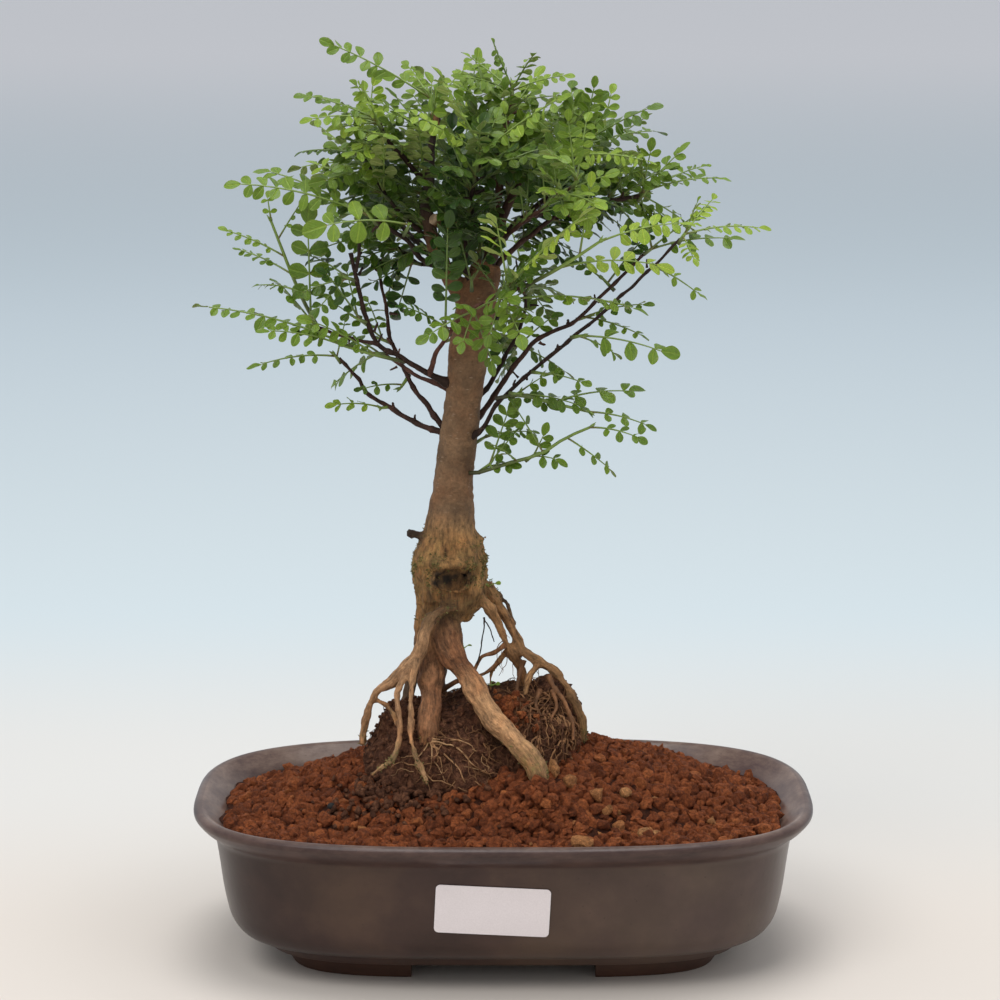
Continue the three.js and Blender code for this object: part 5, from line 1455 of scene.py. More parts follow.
def make_granules(clay, wood, surface, bed):
    rng = np.random.default_rng(7)

    def bed_height(x, y):
        found = bed.ray_cast(Vector((x * MM, y * MM, 0.2)), Vector((0, 0, -1)))[0]
        level = float(soil_height(x, y))
        return level if found is None else max(level, found.z / MM)

    shapes = crumb_shapes(12, 3)
    wood_points, wood_radii = wood
    heap = Heap()
    for x, y, radius, rise in granule_spots(rng):
        height = bed_height(x, y) + rise - BACK_DROP * float(np.clip(y / BACK_REACH, 0, 1))
        points, faces = shapes[rng.integers(len(shapes))]
        size = radius * rng.uniform(0.78, 1.18, size=3)
        tint = 0.93 * rng.beta(2.2, 2.4)
        pale = PALE_SHARE[1] if x > 5 and y < -38 else PALE_SHARE[0]
        if rng.random() < pale:
            tint = rng.uniform(0.95, 1.0)
        shape = turned(rng, points, size)
        if plan_share(x, y, float(inside_wall(height)) + 0.8 * radius + 0.5) >= 1:
            continue
        if in_ball(x, y, height, 0.05):
            continue
        away = np.linalg.norm(wood_points - (x, y, height), axis=1) - wood_radii
        if away.min() < 0.7 * radius:
            continue
        heap.add(shape + (x, y, height), faces, tint=tint)
    for x, y, radius in PALE_LUMPS:
        shape = turned(rng, shapes[rng.integers(len(shapes))][0], radius * rng.uniform(0.85, 1.2, size=3))
        heap.add(shape + (x, y, soil_height(x, y) + 3.4), shapes[0][1], tint=rng.uniform(0.955, 1))
    for _ in range(BALL_GRANULES):
        start = rng.normal(scale=0.5, size=3) * CLAY_REACH + CLAY_PATCH
        spot, normal = on_surface(surface, start)
        points, faces = shapes[rng.integers(len(shapes))]
        shape = turned(rng, points, rng.uniform(0.9, 2.5) * rng.uniform(0.8, 1.2, size=3))
        heap.add(shape + spot + normal * 0.6, faces, tint=rng.uniform(0.3, 0.97))
    piece = heap.build("soil_granules", clay)
    smooth_shade(piece, 28)
    assign(piece, "soil")


def make_bead(black):
    """One round black grain that lies in the soil."""
    x, y = BEAD_PLACE
    bead = primitive("uv_sphere", "black_bead", segments=20, ring_count=12, radius=BEAD_RADIUS * MM,
                     location=(x * MM, y * MM, float(soil_height(x, y) + 3) * MM))
    settle(bead)
    bead.data.materials.append(black)
    smooth_shade(bead)
    assign(bead, "soil")


# Root ball

def make_ball(peat):
    """A globe pressed into the ball's shape, then roughened."""
    ball = primitive("uv_sphere", "root_ball_peat", segments=150, ring_count=90, radius=1)
    points = units(read_points(ball))
    rows = np.array([(0, BALL_ROWS[0][1] - 1), *BALL_ROWS, (0, BALL_ROWS[-1][1] + 0.5)], float)
    track = np.hypot(np.diff(rows[:, 0]) * BALL_HALF[0], np.diff(rows[:, 1]))
    track = np.concatenate([[0], np.cumsum(track)])
    place_on = np.arccos(-points[:, 2].clip(-1, 1)) / np.pi * track[-1]
    share = np.interp(place_on, track, rows[:, 0])
    height = np.interp(place_on, track, rows[:, 1])
    flat = points[:, :2] / np.maximum(np.hypot(points[:, 0], points[:, 1]), 1e-6)[:, None]
    x, y = flat[:, 0] * share * BALL_HALF[0], flat[:, 1] * share * BALL_HALF[1]
    c, s = math.cos(BALL_TURN), math.sin(BALL_TURN)
    plan_x, plan_y = BALL_CENTRE[0] + x * c - y * s, BALL_CENTRE[1] + x * s + y * c
    lift = (BALL_TILT * x + ball_swell(plan_x, plan_y)) * np.clip((height - 66) / 22, 0, 1)
    points = np.column_stack([plan_x, plan_y, height + lift])
    write_points(ball, points)
    for size, push in ((17, 2.6), (7, 2.2), (3.2, 1.6), (1.5, 0.8)):
        points = points + point_normals(ball) * (noise_at(points, size, size) * push)[:, None]
        write_points(ball, points)
    away = np.linalg.norm((points - CLAY_PATCH) / CLAY_REACH, axis=1)
    give_value(ball.data, "clay", np.clip(1.3 - away + 0.5 * noise_at(points, 5, 9), 0, 1))
    ball.data.materials.append(peat)
    smooth_shade(ball)
    assign(ball, "peat", "root_ball")
    return ball


def surface_of(piece):
    tree = bmesh.new()
    tree.from_mesh(piece.data)
    surface = BVHTree.FromBMesh(tree)
    tree.free()
    return surface


def on_surface(surface, point):
    """Nearest point of the surface and the way out from it, in millimetres."""
    found, normal, _, _ = surface.find_nearest(Vector(point * MM))
    return np.array(found) / MM, np.array(normal)


def creep(rng, surface, start, heading, steps, stride, wander, hug):
    """A fine root that creeps over the surface from a start, with gravity as part of its heading."""
    point, normal = on_surface(surface, np.array(start, float))
    line = [point + normal * 0.2]
    for _ in range(steps):
        heading = unit(heading + rng.normal(scale=wander, size=3) + (0, 0, -0.12))
        heading = unit(heading - normal * (heading @ normal))
        spot, normal = on_surface(surface, line[-1] + heading * stride)
        line.append(spot + normal * rng.uniform(0.1, hug))
    return np.array(line)


def hang(rng, start, length, sway):
    """A fine root that hangs free, bent by chance."""
    line = [np.array(start, float)]
    heading = unit(np.array([rng.normal(scale=0.8), rng.normal(scale=0.6) - 0.3, -1.0]))
    for _ in range(int(length / 2)):
        heading = unit(heading + rng.normal(scale=sway, size=3) + (0, 0, -0.14))
        line.append(line[-1] + heading * 2)
    return np.array(line)


def make_fine_roots(fibre, surface):
    """Fibres over the ball: loose all round, straw at the middle of the front, tan at the right."""
    rng = np.random.default_rng(21)
    heap = Heap()
    around, front, hanging, right = FIBRE_COUNTS

    def add_line(line, radius, tint):
        radii = radius * np.linspace(1, 0.45, len(line))
        points, faces = sweep(line, radii, 5)
        heap.add(points, faces, tint=tint)

    for _ in range(around):
        turn = rng.uniform(0, 2 * np.pi)
        start = (BALL_CENTRE[0] + 42 * math.cos(turn) * rng.uniform(0.2, 1.1),
                 BALL_CENTRE[1] + 34 * math.sin(turn) * rng.uniform(0.2, 1.1), rng.uniform(84, 122))
        heading = np.array([math.cos(turn), math.sin(turn), -0.5]) + rng.normal(scale=0.8, size=3)
        line = creep(rng, surface, start, heading, rng.integers(4, 13), 2.0, 0.45, 1.2)
        add_line(line, rng.uniform(0.14, 0.34), rng.uniform(0.05, 0.62))
    for turn, steps, radius in STRAWS:
        heading = np.array([math.cos(turn), -0.4, math.sin(turn)])
        line = creep(rng, surface, STRAW_START, heading, steps, 2.2, 0.13, 0.9)
        add_line(line, radius, rng.uniform(0.78, 0.95))
    for _ in range(front):
        start = (rng.uniform(-42, -2), -46, rng.uniform(88, 112))
        heading = np.array([rng.normal(), -0.3, rng.normal(scale=0.5) - 0.4])
        line = creep(rng, surface, start, heading, rng.integers(4, 12), 2.0, 0.36, 1.6)
        add_line(line, rng.uniform(0.14, 0.34), rng.uniform(0.45, 0.95))
    for _ in range(hanging):
        limb = ("root_right", "root_far_right", "root_right_fork")[rng.integers(3)]
        curve = Route(LIMBS[limb][2])
        start = curve.at(rng.uniform(0.35, 0.9))[0]
        line = hang(rng, start, rng.uniform(8, 26), 0.3)
        settled = []
        for point in line:
            spot, normal = on_surface(surface, point)
            sunk = (point - spot) @ normal < 0.2
            settled.append(spot + normal * rng.uniform(0.2, 0.9) if sunk else point)
        add_line(np.array(settled), rng.uniform(0.14, 0.3), rng.uniform(0.2, 0.6))
    for _ in range(right):
        start = (rng.uniform(6, 37), rng.uniform(-26, -4), rng.uniform(100, 122))
        heading = np.array([rng.normal(scale=0.7) + 0.1, -0.5, -1])
        line = creep(rng, surface, start, heading, rng.integers(5, 15), 2.2, 0.34, 2.2)
        add_line(line, rng.uniform(0.18, 0.62), rng.uniform(0.2, 0.8))
    piece = heap.build("fine_roots", fibre)
    assign(piece, "peat")


def make_crumbs(peat, surface):
    rng = np.random.default_rng(22)
    shapes = crumb_shapes(6, 80)
    heap = Heap()
    for _ in range(CRUMB_COUNT):
        turn = rng.uniform(0, 2 * np.pi)
        reach = rng.uniform(0.3, 1.15)
        start = np.array([BALL_CENTRE[0] + 50 * math.cos(turn) * reach,
                          BALL_CENTRE[1] + 40 * math.sin(turn) * reach, rng.uniform(68, 122)])
        spot, normal = on_surface(surface, start)
        if spot[2] < soil_height(spot[0], spot[1]) - 2:
            continue
        points, faces = shapes[rng.integers(len(shapes))]
        shape = turned(rng, points, rng.uniform(0.5, 1.8) * rng.uniform(0.6, 1.25, size=3))
        near = np.linalg.norm((spot - CLAY_PATCH) / CLAY_REACH) < 1
        heap.add(shape + spot + normal * 0.3, faces, clay=0.9 if near else rng.uniform(0, 0.6) ** 2)
    for _ in range(SKIRT_COUNT):
        x, y = rng.normal(scale=SKIRT_SPREAD) + SKIRT_MIDDLE
        height = soil_height(x, y) + rng.uniform(1.5, 4.5)
        if in_ball(x, y, height, 0.05) or plan_share(x, y, inside_wall(height) + 4) >= 1:
            continue
        points, faces = shapes[rng.integers(len(shapes))]
        shape = turned(rng, points, rng.uniform(0.6, 2.2) * rng.uniform(0.7, 1.2, size=3))
        heap.add(shape + (x, y, height), faces, clay=0.15)
    assign(heap.build("peat_crumbs", peat), "peat")


# Wood

def limb_line(name, stride):
    """Even points along a limb and its radius at each."""
    _, radii, route = LIMBS[name]
    curve = Route(route)
    u = np.linspace(0, 1, max(4, round(curve.length / stride)))
    return curve.at(u), radius_at(radii, curve.parameter(u))


def blend(a, b, share):
    """Goes from one tone to another, by one share or by a share for each point."""
    share = np.asarray(np.clip(share, 0, 1))[..., None]
    return np.array(a) * (1 - share) + np.array(b) * share


def limb_tone(name, points):
    """Bark colour at points of a limb."""
    height = points[:, 2]
    if name == "trunk":
        tone = blend(COLLAR_TONE, TRUNK_TONE, (height - 190) / 14)
        return blend(tone, UPPER_TONE, (height - 262) / 46)
    if name == "leader_left":
        return blend(UPPER_TONE, LEADER_TONE, (height - 312) / 30)
    if name.startswith("stub"):
        return blend(STUB_TONE, COLLAR_TONE, (points[:, 0] + 36) / 6)
    if name.startswith("root_front_left"):
        return blend(PINK_ROOT_TONE, ROOT_TONE, (height - 150) / 14)
    if name == "root_middle":
        tone = blend(LOW_ROOT_TONE, PALE_ROOT_TONE, (height - 86) / 20)
        return blend(tone, RED_ROOT_TONE, (height - 122) / 14)
    if name == "root_left":
        return blend(RED_ROOT_TONE, COLLAR_TONE, (height - 138) / 16)
    if name.startswith("root_back"):
        return np.array(BACK_ROOT_TONE)
    return blend(LOW_ROOT_TONE, ROOT_TONE, (height - 100) / 20)


def sculpt(piece, layers):
    """Pushes a surface in and out along its normals by noise: bump size, height and seed of each layer."""
    for size, push, seed in layers:
        points = read_points(piece)
        write_points(piece, points + point_normals(piece) * (noise_at(points, size, seed) * push)[:, None])


def follow(names, points):
    """How far each point lies from each limb's skin, and its place across and along the nearest limb."""
    near = np.full((len(names), len(points)), 1e3)
    flow = np.zeros((len(points), 3))
    for row, name in enumerate(names):
        line, radii = limb_line(name, 2)
        ahead = units(np.gradient(line, axis=0))
        along = track_of(line)
        across = unit(np.cross((0.3, 1, 0.1), ahead[0]))
        for spot, radius, t, far in zip(line, radii, ahead, along):
            across = unit(across - t * (across @ t))
            offset = points - spot
            gap = np.linalg.norm(offset, axis=1) - radius
            best = (gap < near[row]) & (gap < near.min(axis=0))
            flow[best] = np.column_stack([
                offset[best] @ across, offset[best] @ np.cross(t, across),
                far + offset[best] @ t + 40 * row
            ])
            near[row] = np.minimum(near[row], gap)
    return near, flow


def make_trunk(bark):
    """Trunk, roots and the left leader as one skin, with a mossy swollen collar and its hollow, with painted
    shade in the hollow and under the collar's ledge.
    """
    heap = Heap()
    names = [name for name, limb in LIMBS.items() if limb[0] > THIN_SIDES]
    for name in names:
        line, radii = limb_line(name, 1.5)
        start = unit(line[0] - line[1]) * 1.5
        line, radii = np.vstack([line[0] + start, line]), np.concatenate([radii[:1] * 0.8, radii])
        if name.startswith("root"):
            radii = radii * (1 + 0.2 * noise_at(line, 9, len(name)) + 0.16 * noise_at(line, 4, 3))
        if name == "stub_left":
            radii = radii * (0.78 + 0.25 * noise_at(line, 2, 8))
        heap.add(*sweep(line, radii, 20))
    trunk = heap.build("trunk_and_roots")
    modify(trunk, "REMESH", mode="VOXEL", voxel_size=VOXEL * MM)
    hole = primitive("ico_sphere", "hollow", subdivisions=4, radius=MM)
    inside = read_points(hole)
    inside *= (1 + 0.45 * noise_at(inside, 0.7, 4) + 0.2 * noise_at(inside, 0.3, 5))[:, None]
    write_points(hole, inside * HOLLOW_HALF + HOLLOW_CENTRE)
    combine(trunk, hole)
    modify(trunk, "REMESH", mode="VOXEL", voxel_size=VOXEL * MM)
    modify(trunk, "SMOOTH", factor=0.5, iterations=3)
    points = read_points(trunk)
    ledge = np.exp(-np.sum(((points - LEDGE_CENTRE) / LEDGE_REACH) ** 2, axis=1))
    swell = np.clip(1 - np.abs(points[:, 2] - 172) / 26, 0, 1)
    grooves = noise_at(points * (1, 1, 0.3), 2.6, 19) * 0.9
    under = np.interp(points[:, 2], UNDERCUT_HEIGHTS, (0, 1, 1, 0)) * np.clip((-8 - points[:, 1]) / 5, 0, 1)
    under *= np.clip(1 - np.abs(points[:, 0] - HOLLOW_CENTRE[0]) / 17, 0, 1) ** 0.5
    lumps = noise_at(points, 8, 2) * 2 + noise_at(points, 3.4, 6) * 1.1 + grooves
    push = ledge * 2 - under * UNDERCUT + swell * lumps
    write_points(trunk, points + point_normals(trunk) * push[:, None])
    sculpt(trunk, ((11, 0.8, 12), (4, 0.5, 13), (1.8, 0.26, 14)))
    points = read_points(trunk)
    near, flow = follow(names, points)
    ridged = np.clip((192 - points[:, 2]) / 12, 0, 1)
    ridges = noise_at(flow * (1, 1, 0.2), 1.7, 61) * 0.5 + noise_at(flow * (1, 1, 0.3), 4.2, 62) * 0.55
    write_points(trunk, points + point_normals(trunk) * (ridges * ridged)[:, None])
    weights = np.exp(-(near - near.min(axis=0)) / 1.2)
    weights /= weights.sum(axis=0)
    tone = sum(w[:, None] * limb_tone(name, points) for w, name in zip(weights, names))
    low = np.clip((110 - points[:, 2]) / 14, 0, 1) * 0.85
    collar = np.clip(1 - np.abs(points[:, 2] - 174) / 26, 0, 1) ** 0.6
    ring = np.exp(-(((points[:, 2] - 177) / 5) ** 2))
    moss = np.clip(collar * 0.3 + ring * 0.7 + low + 0.4 * noise_at(points, 6, 17) * collar, 0, 1)
    # Painted shade: the bark's tone is painted darker towards the collar's hollow, and darker still low at
    # its front under the ledge.
    uneven = 0.22 * noise_at(points, 3, 27) + 0.12 * noise_at(points, 1.3, 28)
    into = np.linalg.norm((points - HOLLOW_CENTRE) / RECESS_SHADE_HALF, axis=1) + uneven
    dark = np.clip((into - 0.72) / 0.34, 0.05, 1)
    dark *= 1 - 0.55 * np.interp(points[:, 2], (150, 156, 166, 170), (0, 1, 1, 0)) * (
        np.clip((-6 - points[:, 1]) / 5, 0, 1) * np.clip((points[:, 0] + 41) / 5, 0, 1))
    give_value(trunk.data, "tone", tone * dark[:, None])
    layer = trunk.data.attributes.new("flow", "FLOAT_VECTOR", "POINT")
    layer.data.foreach_set("vector", (flow * MM).astype(np.float32).ravel())
    give_value(trunk.data, "moss", moss * np.clip(into - 0.9, 0, 1))
    give_value(trunk.data, "pores", np.clip((points[:, 2] - 196) / 10, 0.15, 1))
    trunk.data.materials.clear()
    trunk.data.materials.append(bark)
    smooth_shade(trunk)
    assign(trunk, "bark", "tree")
    return trunk


def gnarl(rng, line, radii, rough):
    """Bends a line a little and gives its radii knots, thicker at the foot."""
    count = len(line)
    along = track_of(line)
    sway = np.stack([noise_at(line, 9, rng.uniform(0, 50)) for _ in range(3)], 1)
    fade = np.clip(along / 8, 0, 1) * np.clip((along[-1] - along) / 8, 0.2, 1)
    line = line + sway * (rough * fade)[:, None]
    knots = np.zeros(count)
    place_on = rng.uniform(5, 12)
    while place_on < along[-1]:
        knots += rng.uniform(0.15, 0.4) * np.exp(-((along - place_on) / rng.uniform(1.0, 1.8)) ** 2)
        place_on += rng.uniform(8, 17)
    flare = 0.84 + 0.6 * np.exp(-along / 3)
    return line, radii * (flare + 0.8 * knots + 0.1 * noise_at(line, 2.5, 5))


def make_branches(twig):
    """Woody branches as gnarled tapering tubes, with spurs and small buds at random."""
    rng = np.random.default_rng(31)
    heap = Heap()
    for name, (sides, _, _) in LIMBS.items():
        if sides > THIN_SIDES:
            continue
        line, radii = limb_line(name, 1.4)
        line, radii = gnarl(rng, line, radii * BRANCH_SLIM, 0.9)
        reddish = rng.uniform(0, 1) ** 2.5
        tone = blend(TWIG_TONE, RED_TWIG_TONE, reddish)
        if radii.mean() > STOUT_BRANCH:
            tone = blend(tone, UPPER_TONE, 0.25)
        points, faces = sweep(line, np.maximum(radii, BRANCH_LEAST), 12)
        points += noise_at(points, 2.2, 3)[:, None] * 0.16
        heap.add(points, faces, tone=tone)
        for _ in range(max(1, round(len(line) / 14))):
            k = int(rng.integers(len(line) // 4, len(line) - 1))
            ahead = unit(line[k + 1] - line[k])
            out = unit(np.cross(ahead, rng.normal(size=3)))
            heading = unit(out + ahead * rng.uniform(0, 0.8))
            length = rng.uniform(1.6, 5.5)
            spur = line[k] + np.outer(np.linspace(0.3, 1, 5) * (length + radii[k]), heading)
            spur += np.outer(np.linspace(0, 1, 5) ** 2, rng.normal(scale=0.5, size=3))
            thick = np.array([1.1, 0.8, 0.66, 0.72, 0.3]) * rng.uniform(0.6, 0.95)
            heap.add(*sweep(spur, thick, 7), tone=tone * rng.uniform(0.8, 1.6))
    piece = heap.build("branches", twig)
    smooth_shade(piece, 60)
    assign(piece, "bark", "tree")


def make_thin_roots(twig):
    """Woody roots that are thinner than the ones in the trunk's skin."""
    rng = np.random.default_rng(33)
    heap = Heap()
    for first, last, route in THIN_ROOTS:
        curve = Route(route)
        u = np.linspace(0, 1, max(6, round(curve.length / 1.2)))
        line, radii = gnarl(rng, curve.at(u), np.interp(u, (0, 1), (first, last)), 0.7)
        points, faces = sweep(line, radii, 10)
        tone = np.array(RED_ROOT_TONE) * rng.uniform(0.5, 1.1) if first > 0.5 else TWIG_TONE
        heap.add(points + noise_at(points, 1.5, 6)[:, None] * 0.2, faces, tone=tone)
    piece = heap.build("thin_roots", twig)
    smooth_shade(piece, 60)
    assign(piece, "bark")


def make_cuts(cut_wood):
    """Pale cut ends: a short stub low on the left leader and the leader's own top."""
    heap = Heap()
    for foot, top, radius in CUT_STUBS:
        line = np.linspace(np.array(foot, float), np.array(top, float), 7)
        points, faces = sweep(line, radius * np.linspace(1.15, 1, 7), 14)
        ahead = unit(line[-1] - line[0])
        tone = blend(UPPER_TONE, CUT_TONE, ((points - line[-1]) @ ahead + 0.35) / 0.3)
        heap.add(points + noise_at(points, 1.6, 8)[:, None] * 0.12, faces, tone=tone)
    piece = heap.build("cut_stubs", cut_wood)
    smooth_shade(piece, 45)
    assign(piece, "bark")


# Leaves

def leaflet_pattern():
    """One leaflet on a unit square, as a thin closed lens: points, how near its rim they are, and faces."""
    rows = np.array([0.08, 0.2, 0.36, 0.53, 0.7, 0.84, 0.95])
    width = np.sin(np.pi * rows**LEAFLET_BELLY) ** LEAFLET_BLUNT
    width[1::2] *= 1.03
    columns = np.array([-1, -0.5, 0, 0.5, 1])
    across = [0.0, 0.0]
    along = [0.0, 0.985]
    through = [0.0, 0.0]
    rim = [1.0, 1.0]

    def put(x, v, h, edge):
        across.append(x)
        along.append(v)
        through.append(h)
        rim.append(edge)
        return len(across) - 1

    upper, lower = [], []
    for v, w in zip(rows, width):
        top = [put(c * w, v - (0.02 if v > 0.9 and c == 0 else 0), 0.0, abs(c)) for c in columns]
        under = [put(c * w, v, -1.0, abs(c)) for c in columns[1:-1]]
        upper.append(top)
        lower.append([top[0], *under, top[-1]])
    faces = []
    for grid, flip in ((upper, 1), (lower, -1)):
        quads = [
            (a[i], a[i + 1], b[i + 1], b[i])[::flip] for a, b in zip(grid[:-1], grid[1:]) for i in range(4)
        ]
        ends = [(0, grid[0][i + 1], grid[0][i])[::flip] for i in range(4)]
        ends += [(1, grid[-1][i], grid[-1][i + 1])[::flip] for i in range(4)]
        faces.append([np.array(quads), np.array(ends)])
    return np.array([across, along, through]), np.array(rim), faces


def add_leaflet(heap, rng, base, along, normal, length, width, age, tint):
    """Puts one leaflet on the heap, folded on its rib, curled and waved by chance."""
    (across, v, through), rim, (upper, lower) = PATTERN
    side = unit(np.cross(along, normal))
    normal = np.cross(side, along)
    fold = rng.uniform(-0.02, 0.3)
    curl = rng.uniform(0.02, 0.26)
    twist = rng.normal(scale=0.08)
    wave = rng.uniform(0, 0.05) * np.sin(v * rng.uniform(6, 11) + rng.uniform(0, 6)) * rim
    height = fold * np.abs(across) * width / 2 - curl * v**2 * length + wave * length
    height += twist * across * v * length + through * LEAFLET_THICKNESS
    points = (base + np.outer(v * length, along) + np.outer(across * width / 2, side)
              + np.outer(height, normal))
    uv = np.stack([0.5 + across / 2, v], 1)
    heap.add(points, upper, slot=0, uv=uv, age=age, tint=tint)
    heap.join(lower, slot=1)


def add_frond(heap, rng, found, age, grown, slender, pitch):
    """A rachis with pairs of leaflets and one at its tip."""
    found = frond_frame(found["base"], found["tip"], found["lean"] * rng.uniform(*LEAN_RANGE))
    length = found["length"]
    size = leaflet_reach(length) * LEAFLET_SIZE * grown
    last = 1 - 0.8 * size / length
    pairs = int(np.clip(round((length * last - BARE_STALK) / (size * pitch * slender**0.3)), *PAIR_COUNTS))
    places = np.linspace(0.24 if length > 30 else 0.3, last - 0.06, pairs)
    s = np.linspace(0, last, 9)
    rib = np.array([frond_point(found, t) for t in s])
    green = blend(NEW_STALK_TONE, OLD_STALK_TONE, age * 1.1)
    thick = np.linspace(0.52, 0.26, 9) * (0.8 + 0.006 * length)
    points, faces = sweep(rib, thick, 6)
    foot = 1 - np.linalg.norm(points - rib[0], axis=1) / 5
    heap.add(points, faces, slot=2, tone=blend(green, STALK_FOOT_TONE, foot), age=age)
    tone = float(rng.uniform(0.2, 0.8))

    def leaflet(t, turn, grow):
        here = frond_point(found, t)
        ahead = unit(frond_point(found, min(t + 0.03, 1)) - frond_point(found, t - 0.03))
        up = unit(np.cross(ahead, found["side"]))
        out = found["side"] * np.sign(turn)
        swing = abs(math.sin(turn))
        heading = ahead * math.cos(turn) + out * swing - up * LEAFLET_FOLD * swing
        heading = unit(heading + rng.normal(scale=0.13, size=3))
        face = unit(up + rng.normal(scale=0.27, size=3))
        long = size * grow * rng.uniform(0.9, 1.08)
        wide = long * rng.uniform(0.54, 0.68) * slender
        shade = np.clip(tone + rng.normal(scale=0.22), 0, 1)
        add_leaflet(heap, rng, here, heading, face, long, wide, age, shade)

    for k, t in enumerate(places):
        grow = 0.8 + 0.26 * math.sin(math.pi * (0.15 + 0.75 * k / max(pairs - 1, 1)))
        for side in (-1, 1):
            if rng.random() < LOST_LEAFLETS:
                continue
            leaflet(t + rng.normal(scale=0.008), side * rng.uniform(1.0, 1.3), grow)
    leaflet(last, rng.normal(scale=0.12) or 0.05, 1.12)


def add_shoot(heap, rng, stem, age):
    """The green stem of a shoot, with a bud at its top."""
    line = np.array(stem, float)
    back = unit(line[0] - line[1])
    line = np.vstack([line[0] + back * 1.6, line])
    curve = Route(line)
    u = np.linspace(0, 1, 9)
    line = curve.at(u)
    thick = np.linspace(1.0, 0.62, 9)
    points, faces = sweep(line, thick, 7)
    share = np.clip(np.linalg.norm(points - line[0], axis=1) / max(curve.length, 1), 0, 1)
    green = blend(NEW_STALK_TONE, OLD_STALK_TONE, age)
    tone = blend(TWIG_TONE, green, share * 1.6)
    heap.add(points, faces, slot=2, tone=tone, age=age)
    ahead = unit(line[-1] - line[-2])
    for _ in range(3):
        heading = unit(ahead + rng.normal(scale=0.35, size=3))
        reach = rng.uniform(1.8, 4.2)
        bud = line[-1] + np.outer(np.linspace(-0.1, 1, 7) * reach, heading)
        shape = np.array([0.35, 0.55, 0.68, 0.62, 0.46, 0.26, 0.08]) * rng.uniform(0.7, 1.1)
        heap.add(*sweep(bud, shape, 6), slot=2, tone=green, age=age)


def ease_under(piece, top):
    """Lowers a shoot that reaches past a height, more and more towards its top."""
    points = read_points(piece)
    high = points[:, 2].max()
    if high > top:
        points[:, 2] -= (high - top) * np.clip((points[:, 2] - EASE_START) / (high - EASE_START), 0, 1)
        write_points(piece, points)


def make_shoot(name, stem, fronds, age, seed, finishes, node=True):
    """Stem, stalks and leaflets of one shoot. A node's shoot stands for the solid of its name."""
    sparse = "_spray_" in name and stem[0][2] < SPARSE_TOP
    usual = (SPARSE_FORM if sparse else USUAL_FORM) if node else INNER_FORM
    grown, slender, pitch = LEAFLET_FORMS.get(name, usual)
    rng = np.random.default_rng(seed)
    heap = Heap()
    if age is None:
        age = SPRAY_AGE[1] if stem[0][2] > HIGH_SPRAY else SPRAY_AGE[0]
    add_shoot(heap, rng, stem, age)
    for found in fronds:
        leaf_age = float(np.clip(age + rng.normal(scale=0.07), 0, 1))
        add_frond(heap, rng, found, leaf_age, grown, slender, pitch)
    piece = heap.build(f"{name}_leaves" if node else name, *finishes)
    ease_under(piece, solids_box[1][2] / MM)
    smooth_shade(piece, 60)
    assign(piece, "inner_leaf" if age > SHADED_AGE else "leaf", *([name] if node else []))


# Moss and weeds

def make_moss(green, trunk):
    """Short moss tufts on the collar and low on the roots."""
    rng = np.random.default_rng(41)
    points, normals = read_points(trunk), point_normals(trunk)
    height = points[:, 2]
    chance = np.exp(-(((height - 177.5) / 4.5) ** 2)) + 0.12 * np.clip(1 - np.abs(height - 174) / 24, 0, 1)
    chance += 0.3 * np.clip((108 - height) / 20, 0, 1)
    chance *= np.clip(noise_at(points, 5, 23) * 2 + 0.25, 0, 1)
    hollow = np.linalg.norm((points - HOLLOW_CENTRE) / HOLLOW_HALF, axis=1)
    chance[hollow < 1.25] = 0
    picked = rng.choice(len(points), MOSS_COUNT, p=chance / chance.sum())
    heap = Heap()
    for k in picked:
        heading = unit(normals[k] + rng.normal(scale=0.45, size=3) + (0, 0, 0.2))
        length = rng.uniform(0.5, 1.5)
        line = points[k] - normals[k] * 0.2 + np.outer(np.linspace(0, 1, 4) * length, heading)
        thick = np.array([0.2, 0.22, 0.16, 0.05]) * rng.uniform(0.8, 1.4)
        heap.add(*sweep(line, thick, 4), tint=rng.beta(2, 2))
    assign(heap.build("moss_tufts", green), "bark")


def make_weeds(finishes, trunk_surface):
    """Tiny seedlings that grew on the collar and on the roots."""
    rng = np.random.default_rng(43)
    heap = Heap()
    for foot, size in WEEDS:
        foot, _ = on_surface(trunk_surface, np.array(foot, float))
        for k in range(5):
            turn = k * math.pi / 2 + rng.uniform(-0.4, 0.4)
            heading = unit(np.array([math.cos(turn), math.sin(turn) - 0.2, rng.uniform(0.5, 1.1)]))
            tip = foot + heading * size
            stalk = np.linspace(foot, tip, 5) + np.outer([0, 0.1, 0.14, 0.1, 0], (0, 0, size * 0.6))
            heap.add(*sweep(stalk, 0.16, 5), slot=2, tone=NEW_STALK_TONE, age=0.25)
            face = unit(np.array([0, -0.3, 1]) + rng.normal(scale=0.2, size=3))
            flat = unit(heading * (1, 1, 0.2))
            add_leaflet(heap, rng, tip, flat, face, size * 0.8, size * 0.62, 0.25, rng.uniform(0.3, 0.8))
    piece = heap.build("weeds", *finishes)
    smooth_shade(piece, 60)
    assign(piece, "leaf")


# Inner leaves

def fill_age(foot, chance):
    """Leaves deep in the crown are old and dark, partly painted shade, and those near its skin and top are
    new.
    """
    out = np.linalg.norm((foot - FILL_HEART) / FILL_REACH)
    low = (FILL_HEART[2] - foot[2]) / 300
    # Deep in the crown the leaves are painted darker as shade, and low ones are kept lighter as painted
    # light from the floor below.
    shaded = 0.99 - 0.46 * out + low if foot[2] > 305 else 0.6
    return float(np.clip(shaded + 0.34 * (chance - 0.5), 0.2, 0.9))


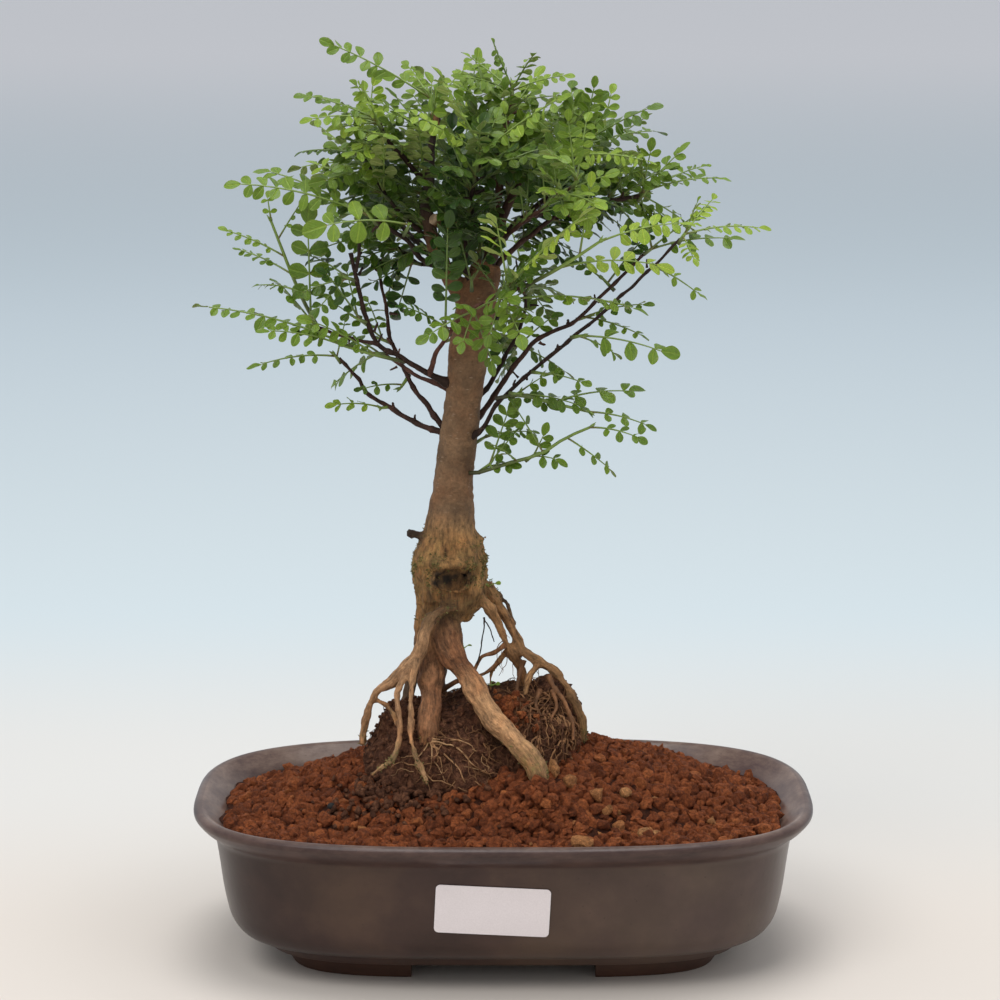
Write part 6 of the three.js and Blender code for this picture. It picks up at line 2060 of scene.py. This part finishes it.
def add_inner_leaves(finishes, wood, taken):
    """Small sprays between the ones of the solids, so that the crown is as dense as it grew."""
    draw = random_from(977)
    number = 0
    for limb, low, high, count in FILL:
        for k in range(count):
            share = low + (high - low) * (k + draw()) / count
            seed = 3000 + 17 * number
            stem, fronds = open_spray(limb, share, 3 + int(3 * draw()), seed, wood, taken, FILL_LENGTH,
                                      FILL_CLEARANCE, FILL_LIFT)
            number += 1
            fronds = [found for found in fronds if found["tip"][2] < FILL_TOP]
            if not fronds:
                continue
            age = float(fill_age(stem[0], draw()))
            make_shoot(f"inner_leaves_{number}", stem, fronds, age, seed, finishes, node=False)


# Stage

def set_stage():
    floor = primitive("plane", "floor", size=60)
    floor.data.materials.append(floor_finish())
    world = bpy.data.worlds.new("studio")
    bpy.context.scene.world = world
    world.use_nodes = True
    background = world.node_tree.nodes["Background"]
    background.inputs["Color"].default_value = (0.93, 0.96, 1.0, 1)
    background.inputs["Strength"].default_value = 0.62
    for name, (size, power, spot, color) in LIGHTS.items():
        lamp = add_object(name, bpy.data.lights.new(name, "AREA"))
        lamp.data.shape = "DISK"
        lamp.data.size = size
        lamp.data.energy = power
        lamp.data.color = color
        lamp.location = spot
        lamp.rotation_euler = (Vector((0, 0, 0.2)) - lamp.location).to_track_quat("-Z", "Y").to_euler()
    camera = bpy.data.cameras.new("camera")
    camera.lens = CAMERA_LENS
    camera.sensor_width = 36
    camera.clip_end = 200
    holder = add_object("camera", camera)
    holder.location = [v * MM for v in CAMERA_PLACE]
    aim = Vector(CAMERA_AIM) - Vector(CAMERA_PLACE)
    holder.rotation_euler = aim.to_track_quat("-Z", "Y").to_euler()
    bpy.context.scene.camera = holder
    bpy.context.scene.view_settings.view_transform = "Standard"
    bpy.context.scene.view_settings.look = "None"


PATTERN = leaflet_pattern()
wood = limb_samples()

make_pot(glaze_finish())
make_label(label_finish())
make_drain_nets(net_finish())

# The soil solid shows only in the gaps between the granules, so its clay is painted darker there as shade.
bed = soil_finish("soil_bed_painted_shade", 0.45)
for slot in bpy.data.objects["soil"].material_slots:
    slot.material = bed
make_bead(net_finish())

peat = peat_finish()
surface = surface_of(make_ball(peat))
make_granules(soil_finish("baked_clay"), wood, surface, surface_of(bpy.data.objects["soil"]))
make_crumbs(peat, surface)
make_fine_roots(strand_finish(), surface)

twig = twig_finish()
trunk = make_trunk(bark_finish())
make_branches(twig)
make_thin_roots(twig)
make_cuts(twig)
make_moss(moss_finish(), trunk)

leaf_finishes = (leaf_finish("leaflet_top", False), leaf_finish("leaflet_under", True), stalk_finish())
shoots, taken = lay_out_shoots(wood)
for number, (name, stem, fronds, age) in enumerate(shoots):
    make_shoot(name, stem, fronds, age, 500 + number, leaf_finishes)
for number, (name, (age, stem, tips)) in enumerate(LOOSE_SHOOTS.items()):
    curve = Route(stem)
    fronds = [
        frond_frame(curve.at(1 - 0.6 * k / len(tips))[0], np.array(tip, float), FRONT_LEAN)
        for k, tip in enumerate(tips)
    ]
    make_shoot(f"{name}_leaves", np.array(stem), fronds, age, 900 + number, leaf_finishes, node=False)
make_weeds(leaf_finishes, surface_of(trunk))
add_inner_leaves(leaf_finishes, wood, taken)

set_stage()
